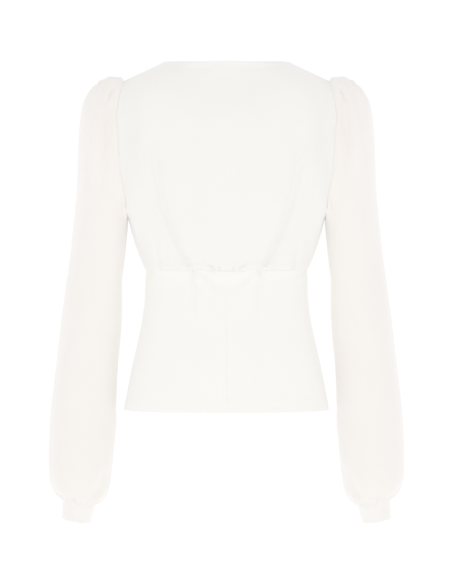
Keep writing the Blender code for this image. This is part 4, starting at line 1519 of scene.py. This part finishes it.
@dataclass
class Sleeve(SewnPiece):
    """A bishop sleeve: pleated full head, long tube, gathered foot, seam along the inner arm."""

    side: Side = Side.RIGHT
    columns: int = 168
    head_blend: float = 3.6           # stations over which the head leaves the armhole's form
    crowd: float = 1.9                # how much closer the columns lie behind the head
    crowd_angle: float = math.radians(38)
    crowd_width: float = math.radians(42)
    head_puff: float = 3.4 * MM       # how far the head stands up beside the armhole seam
    rear_puff: float = 4.0 * MM       # and the cloth behind it
    underarm_drape: float = 12.0 * MM  # how far the cloth hangs out over the armhole's low end
    underarm_touch: float = 2.5 * MM  # and how far it leans on the body there
    drape_start: tuple[float, float] = (0.6, 2.4)    # station where it begins, and its run
    drape_end: tuple[float, float] = (6.5, 4.5)
    touch_start: float = 1.6
    touch_end: tuple[float, float] = (3, 2.5)
    touch_power: float = 1.5          # keeps the touch to the inner side of the rings
    rear_turn: float = 0.5            # sine of the angle over which the rings change behind
    head_puff_half: float = math.radians(48)
    rear_puff_at: float = math.radians(95)
    rear_puff_half: float = math.radians(50)
    puff_from_seam: float = 6 * MM
    puff_width: float = 5 * MM
    pleat_radius: float = 78 * MM     # radii that turn angles into lengths round the sleeve
    head_radius: float = 86 * MM
    foot_radius: float = 45 * MM
    fold_end: float = 16              # station where the long folds begin to fade
    rear_ease: float = 20 * MM        # depth over which rear folds give way to front ones
    head_sewn: float = 2 * MM         # lengths pressed flat at the armhole and at the cuff
    foot_sewn: float = 3 * MM
    rings: tuple[tuple[float, float, int], ...] = (
        (0, 1, 14), (1, 4, 40), (4, 8, 44), (8, 14, 62), (14, 16.5, 24), (16.5, 18, 22),
    )
    rear_folds: tuple[Fold, ...] = (
        Fold((175, -25), (182, -36), (186, -52), (2.1, 2.6), (-2.0, -5.4, -1.6)),
        Fold((183, -50), (186, -112), (194, -198), (6.0, 11.0), (-2.6, -11.5, -1.0), lean=-0.2),
        Fold((193, -28), (199, -98), (211, -190), (2.4, 6.0), (1.4, 4.2, 0.4)),
        Fold((183, -20), (191, -36), (195, -66), (2.0, 3.4), (1.2, 1.8, 0.4)),
        Fold((186, -14), (194, -24), (199, -44), (1.9, 2.6), (-0.6, -2.2, -0.6)),
        Fold((193, -11), (201, -18), (203, -34), (1.9, 2.4), (-1.8, -3.4, -0.8)),
        Fold((204, -18), (209, -24), (211, -38), (1.9, 2.6), (-2.2, -2.4, -0.3)),
        Fold((208, -24), (216, -52), (221, -118), (4.0, 8.0), (-0.8, -1.8, -0.6)),
        Fold((168, -18), (173, -46), (174, -120), (3.2, 6.0), (1.4, 2.0, 0.8)),
        Fold((166, -90), (168, -140), (170, -200), (5, 8), (0.0, -1.0, 0.0)),
        Fold((168, -330), (196, -420), (236, -480), (13, 18), (-2.4, -2.6, 0.0)),
        Fold((176, -250), (206, -300), (232, -372), (16, 20), (-0.6, -1.4, 0.0)),
        Fold((178, -545), (206, -590), (226, -640), (11, 15), (2.4, 2.4, 1.2)),
        Fold((184, -620), (190, -650), (206, -672), (11.0, 7.5), (-0.8, -7.0, -6.5)),
        Fold((182, -460), (204, -520), (212, -590), (14, 14), (0.0, 1.6, 0.0)),
        Fold((262, -520), (252, -580), (246, -640), (12, 9), (0.0, -1.6, -1.8)),
    )
    front_folds: tuple[Fold, ...] = (
        Fold((168, -16), (184, -40), (190, -90), (5.5, 8), (-4.0, -6.4, -3.0)),
        Fold((188, -80), (192, -130), (190, -180), (8, 13), (-2.6, -2.0, -0.6)),
        Fold((182, -6), (206, -42), (208, -150), (6, 12), (2.2, 2.6, 1.0)),
        Fold((192, -6), (220, -38), (225, -120), (5, 9), (-2.8, -2.2, -0.6)),
        Fold((168, -315), (192, -400), (228, -462), (13, 17), (-2.2, -2.4, 0.0)),
        Fold((178, -235), (202, -290), (226, -350), (15, 19), (-0.6, -1.6, 0.0)),
        Fold((180, -560), (208, -600), (230, -642), (11, 15), (2.0, 2.0, 1.2)),
        Fold((258, -505), (250, -570), (244, -636), (12, 9), (0.0, -1.5, -1.6)),
    )
    pleats: tuple[Pleat, ...] = (
        Pleat(5, 9, 2.2, 2.2, 3.4, -0.8, -1.6),
        Pleat(-9, -12, 2.2, 2.2, 3.4, -0.8, -1.5),
        Pleat(-24, -30, 2.6, 2.6, 4.5, -1.0, -1.9),
        Pleat(-42, -48, 2.6, 2.6, 4.5, -1.0, -1.7),
    )
    head_gathers: Gathers = Gathers(27, -110, 110, 2.0, 0.9, 9.0, seed=41)
    foot_gathers: Gathers = Gathers(24, -138, 138, 2.7, 3.0, 15.0, seed=43, slant=0.3)
    lobes: Gathers = Gathers(8, -138, 138, 6.0, 3.6, 34.0, seed=47, slant=0.2)
    waves: SoftWaves = SoftWaves(depth=0.8, length=100, seed=51)

    def stations(self) -> np.ndarray:
        """Stations of the rings: close together at the head and the foot."""
        return np.unique(np.concatenate([np.linspace(*span) for span in self.rings]))

    def angles(self) -> np.ndarray:
        """Angles of the columns: closest behind the head, where its pleats lie.

        Returns:
            The angles, from one side of the seam to the other.
        """
        fine = np.linspace(-math.pi, math.pi, 4001)
        crowding = np.exp(-(((fine - self.crowd_angle) / self.crowd_width) ** 2))
        number = (1 + self.crowd * crowding).cumsum()
        number = (number - number[0]) / (number[-1] - number[0])
        return np.interp(np.linspace(0.0, 1.0, self.columns + 1), number, fine)

    @staticmethod
    def eased(station: np.ndarray, span: tuple[float, float]) -> np.ndarray:
        """Ease from 0 to 1 along the stations, from the first value over the second."""
        return smooth_step((station - span[0]) / span[1])

    def surface(self, station: np.ndarray, angle: np.ndarray) -> np.ndarray:
        """Plain surface of the right sleeve.

        Args:
            station: A station for each ring, as a column.
            angle: Angles round a ring from its outer point, positive behind, as a row.

        Returns:
            The grid of points; the first ring is the armhole.
        """
        at = Station(*(SLEEVE_SIZES.at(name, station) for name in Station._fields))
        turn, turn_2 = np.cos(angle), np.cos(angle) ** 2
        centre_x, centre_z = (at.outer_x + at.inner_x) / 2, (at.outer_z + at.inner_z) / 2
        rear = smooth_step(0.5 + np.sin(angle) / self.rear_turn)
        side_x = at.front_x + (at.rear_x - at.front_x) * rear
        x = side_x + (at.outer_x - centre_x) * turn + (centre_x - side_x) * turn_2
        z = at.middle_z + (at.outer_z - centre_z) * turn + (centre_z - at.middle_z) * turn_2
        near_body = self.eased(station, self.drape_start) * (
            1 - self.eased(station, self.drape_end))
        inner = (1 - turn) / 2
        drape = self.underarm_drape * near_body * inner ** 2
        touching = smooth_step(station / self.touch_start) * (
            1 - self.eased(station, self.touch_end))
        touching = touching * smooth_step(np.sin(angle) / self.rear_turn)
        x = x - self.underarm_touch * (touching * inner ** self.touch_power)
        points = np.stack((x, -at.half_depth * np.sin(angle) - drape, z), axis=2)
        head = self.armhole_ring(angle) - points[:1]
        return points + head * (1 - smooth_step(station / self.head_blend))[..., None]

    def armhole_ring(self, angle: np.ndarray) -> np.ndarray:
        """The right armhole's edge, moved out by the seam's gap.

        Args:
            angle: Angles round the ring, positive behind.

        Returns:
            The points of the ring.
        """
        from_top = np.abs(angle)
        behind, ahead = BODICE.armhole(from_top, Face.BACK), BODICE.armhole(from_top, Face.FRONT)
        x = np.where(angle > 0, behind[0], ahead[0]) + HALF_GAP
        depth = np.where(angle > 0, BODICE.edge_depth(from_top, Face.BACK),
                         -BODICE.edge_depth(from_top, Face.FRONT))
        return np.stack((x, -depth, behind[1]), axis=-1)

    def pleat_height(self, station: np.ndarray, angle: np.ndarray) -> np.ndarray:
        """Height of the head's pleats that run over the top of the shoulder.

        Args:
            station: A station for each ring, as a column.
            angle: Angles round a ring, as a row.

        Returns:
            The height at each point, in metres.
        """
        total = np.zeros(np.broadcast(station, angle).shape)
        for pleat in self.pleats:
            share = np.clip(station / pleat.reach, 0.0, 1.0)
            centre = np.radians(pleat.angle + (pleat.end_angle - pleat.angle) * share)
            width = (pleat.width + (pleat.end_width - pleat.width) * share) * MM
            depth = pleat.depth * (1 - share) ** 2 + pleat.peak * 4 * share * (1 - share)
            total += depth * MM * np.exp(-(((angle - centre) * self.pleat_radius / width) ** 2))
        return total

    def relief(self, points: np.ndarray, station: np.ndarray, angle: np.ndarray) -> np.ndarray:
        """Height of folds, pleats and gathers.

        Args:
            points: The plain surface.
            station: A station for each ring, as a column.
            angle: Angles round a ring, as a row.

        Returns:
            The height at each point, in metres.
        """
        x, y, z = (points[..., axis] for axis in range(3))
        rear = smooth_step(0.5 - y / self.rear_ease)
        height = fold_height(self.rear_folds, x, z) * rear
        height += fold_height(self.front_folds, x, z) * (1 - rear)
        height *= smooth_step(station) * (1 - smooth_step(station - self.fold_end))
        height += self.pleat_height(station, angle)
        fall = np.linalg.norm(np.diff(points, axis=0, prepend=points[:1]), axis=2).cumsum(axis=0)
        gathers = self.head_gathers.height(angle * self.head_radius, fall)
        height += gathers * smooth_step(fall / self.head_sewn)
        seam_side = (fall - self.puff_from_seam) / self.puff_width
        over_top = np.exp(-((angle / self.head_puff_half) ** 2))
        behind = np.exp(-(((angle - self.rear_puff_at) / self.rear_puff_half) ** 2))
        puff = self.head_puff * over_top + self.rear_puff * behind
        height += puff * np.exp(-seam_side**2)
        round_foot = angle * self.foot_radius
        climb = fall[-1] - fall
        foot = self.foot_gathers.height(round_foot, climb) + self.lobes.height(round_foot, climb)
        height += foot * smooth_step(climb / self.foot_sewn)
        return height + self.waves.height(x + y, z) * smooth_step(station / 4)

    def build(self) -> bpy.types.Object:
        """Make the sleeve.

        Returns:
            Its shell.
        """
        station = self.stations()[:, None]
        angle = self.angles()[None, :]
        points = self.surface(station, angle)
        centre = points.mean(axis=1, keepdims=True)
        points = raise_by(points, self.relief(points, station, angle), centre)
        points[0] = self.armhole_ring(angle[0])
        past = (points[-1] - CUFF.top) @ CUFF.along + HALF_GAP
        points[-1] -= np.outer(past, CUFF.along)
        close_tube(points)
        put_on_side(self.side, points, centre)
        edges = Edges(bottom=SEAM_EDGE, top=SEAM_EDGE, start=FINE_SEAM_EDGE, end=FINE_SEAM_EDGE)
        return self.shell(points, centre, edges)


@dataclass
class Cuff(SewnPiece):
    """A plain band folded at the wrist, with its seam in line with the sleeve's."""

    side: Side = Side.RIGHT
    columns: int = 100
    rows: int = 16
    waves: SoftWaves = SoftWaves(depth=0.25, length=30, seed=61)

    def build(self) -> bpy.types.Object:
        """Make the cuff.

        Returns:
            Its shell.
        """
        angle = np.linspace(-math.pi, math.pi, self.columns + 1)
        share = np.linspace(0.0, 1.0, self.rows + 1)[:, None, None]
        wide = CUFF.top_half[0] + (CUFF.foot_half[0] - CUFF.top_half[0]) * share
        deep = CUFF.top_half[1] + (CUFF.foot_half[1] - CUFF.top_half[1]) * share
        axis = CUFF.top + CUFF.along * (HALF_GAP + (CUFF.height - HALF_GAP) * share)
        points = (
            axis
            + wide * np.cos(angle)[None, :, None] * CUFF.across
            - deep * np.sin(angle)[None, :, None] * np.array([0.0, 1.0, 0.0])
        )
        centre = np.broadcast_to(axis, points.shape).copy()
        around = (angle * CUFF.top_half[1])[None, :]
        height = self.waves.height(around, share[..., 0] * CUFF.height)
        points = raise_by(points, height * smooth_step(share[..., 0] * 4), centre)
        close_tube(points)
        put_on_side(self.side, points, centre)
        edges = Edges(bottom=FINE_SEAM_EDGE, top=TURNED_EDGE, start=FINE_SEAM_EDGE,
                      end=FINE_SEAM_EDGE)
        return self.shell(points, centre, edges)


# ---------------------------------------------------------------------------------------------
# Studio
# ---------------------------------------------------------------------------------------------


class SoftBox(NamedTuple):
    """A square studio light: where it stands, where it points, its side and its power."""

    name: str
    place: tuple[float, float, float]
    target: tuple[float, float, float]
    size: float
    power: float


@dataclass
class Studio:
    """White surroundings, a pale floor, soft boxes and the camera behind the top."""

    distance: float = 3.4                 # from the camera to the plane of the shoulders
    view_height: float = 0.9227           # height of that plane within the frame
    centre_x: float = -0.8 * MM
    centre_z: float = -348.4 * MM
    sensor: float = 24.0                  # mm, along the frame's height
    floor_height: float = -1.4
    floor_radius: float = 4.0
    floor_corners: int = 96
    view_depth: float = 50.0
    walls: float = 1.02                   # brightness of the room all round
    ceiling: float = 0.62                 # the room is dimmer overhead
    ceiling_rise: tuple[float, float] = (0.2, 0.75)    # slopes between which it dims
    gamma: float = 2.1                    # lifts the shades, as white cloth is shown on white
    boxes: tuple[SoftBox, ...] = (
        SoftBox("key", (0.0, -2.6, -1.1), (0.0, 0.0, -0.45), 1.6, 11.2),
        SoftBox("front_left", (-2.4, 2.4, -0.35), (0.0, 0.0, -0.35), 1.8, 6.0),
        SoftBox("front_right", (2.4, 2.4, -0.35), (0.0, 0.0, -0.35), 1.8, 6.0),
        SoftBox("low_left", (-1.8, 1.5, -1.2), (0.0, 0.0, -0.4), 1.2, 4.6),
        SoftBox("low_right", (1.8, 1.5, -1.2), (0.0, 0.0, -0.4), 1.2, 4.6),
        SoftBox("front", (0.0, 2.8, -0.5), (0.0, 0.0, -0.5), 2.4, 11.0),
        SoftBox("bounce", (0.0, 0.0, -1.35), (0.0, 0.0, 0.0), 2.5, 4.0),
    )

    def build_camera(self) -> None:
        """Place the camera level with the middle of the frame, looking along +Y."""
        camera = bpy.data.cameras.new("studio_camera")
        camera.sensor_fit = "VERTICAL"
        camera.sensor_height = self.sensor
        camera.lens = self.sensor * self.distance / self.view_height
        camera.clip_end = self.view_depth
        holder = bpy.data.objects.new("studio_camera", camera)
        holder.location = (self.centre_x, -self.distance, self.centre_z)
        holder.rotation_euler = (math.pi / 2, 0.0, 0.0)
        bpy.context.collection.objects.link(holder)
        bpy.context.scene.camera = holder

    def build_lights(self) -> None:
        """White surroundings and the soft boxes."""
        scene = bpy.context.scene
        world = bpy.data.worlds.new("white_studio")
        world.use_nodes = True
        tree = world.node_tree
        background = tree.nodes["Background"]
        background.inputs["Color"].default_value = linear("FFFFFF")
        direction = add_node(tree, "ShaderNodeTexCoord")
        split = add_node(tree, "ShaderNodeSeparateXYZ", None, {
            "Vector": direction.outputs["Generated"],
        })
        fall = add_node(tree, "ShaderNodeMapRange", None, {
            "Value": split.outputs["Z"], "From Min": self.ceiling_rise[0],
            "From Max": self.ceiling_rise[1], "To Min": self.walls, "To Max": self.ceiling,
        })
        tree.links.new(fall.outputs["Result"], background.inputs["Strength"])
        scene.world = world
        for box in self.boxes:
            light = bpy.data.lights.new(f"soft_box_{box.name}", "AREA")
            light.size = box.size
            light.energy = box.power
            holder = bpy.data.objects.new(light.name, light)
            holder.location = box.place
            away = np.array(box.place) - np.array(box.target)
            flat = math.hypot(away[0], away[1])
            holder.rotation_euler = (
                math.atan2(flat, away[2]), 0.0, math.atan2(away[1], away[0]) + math.pi / 2,
            )
            scene.collection.objects.link(holder)

    def build_floor(self) -> None:
        """A round pale floor, well below the top."""
        radius = self.floor_radius
        points = [
            (radius * math.cos(a), radius * math.sin(a), self.floor_height)
            for a in np.linspace(0.0, 2 * math.pi, self.floor_corners + 1)[:-1]
        ]
        mesh = bpy.data.meshes.new("studio_floor")
        mesh.from_pydata(points, [], [tuple(range(len(points)))])
        floor = bpy.data.objects.new("studio_floor", mesh)
        material = bpy.data.materials.new("painted_floor")
        material.use_nodes = True
        tree = material.node_tree
        shader = tree.nodes["Principled BSDF"]
        solid = add_node(tree, "ShaderNodeTexCoord")
        noise = add_node(tree, "ShaderNodeTexNoise", None, {
            "Vector": solid.outputs["Object"], "Scale": 3.0, "Detail": 4.0,
        })
        colour = add_node(tree, "ShaderNodeMix", {"data_type": "RGBA"}, {
            "Factor": noise.outputs["Fac"], "A": linear("F4F4F3"), "B": linear("F8F8F7"),
        })
        tree.links.new(colour.outputs["Result"], shader.inputs["Base Color"])
        shader.inputs["Roughness"].default_value = 0.6
        mesh.materials.append(material)
        bpy.context.collection.objects.link(floor)

    def build(self) -> None:
        """Set up the whole studio."""
        self.build_camera()
        self.build_lights()
        self.build_floor()
        bpy.context.scene.view_settings.view_transform = "Standard"
        bpy.context.scene.view_settings.gamma = self.gamma


def main() -> None:
    """Build the top, piece by piece, and the studio."""
    logging.basicConfig(level=logging.INFO, format="%(name)s: %(message)s")
    pieces: list[SewnPiece] = [
        BodiceBack(
            "bodice_back", "bodice_cloth", BODY_CREPE, Cut(0.42, 0.36, 0.142, Held.GATHERED),
        ),
    ]
    for side in Side:
        pieces.append(BodiceFront(
            f"bodice_front_{side.label}", "bodice_cloth", BODY_CREPE,
            Cut(0.32, 0.40, 0.078, Held.DRAPED), side=side,
        ))
    for side in Side:
        pieces.append(BasquePanel(
            f"basque_back_centre_{side.label}", "basque_cloth", BASQUE_CREPE_PAINTED_LIGHTER,
            Cut(0.068, 0.25, 0.0155, Held.DRAPED), place=PanelPlace.CENTRE, side=side, columns=30,
        ))
        pieces.append(BasquePanel(
            f"basque_back_side_{side.label}", "basque_cloth", BASQUE_CREPE_PAINTED_LIGHTER,
            Cut(0.17, 0.25, 0.036, Held.DRAPED), place=PanelPlace.SIDE, side=side, columns=66,
        ))
    pieces.append(BasquePanel(
        "basque_front", "basque_cloth", BASQUE_CREPE_PAINTED_LIGHTER, Cut(0.45, 0.25, 0.095, Held.DRAPED),
        place=PanelPlace.FRONT, columns=150,
    ))
    for side in Side:
        pieces.append(Sleeve(
            f"sleeve_{side.label}", "sleeve_cloth", SLEEVE_CREPE,
            Cut(0.40, 0.68, 0.215, Held.GATHERED), side=side,
        ))
        pieces.append(Cuff(
            f"cuff_{side.label}", "cuff_cloth", CUFF_CREPE, Cut(0.19, 0.05, 0.0075, Held.DRAPED),
            side=side,
        ))
    for piece in pieces:
        piece.dress(piece.build())
    Studio().build()


if __name__ == "__main__":
    main()
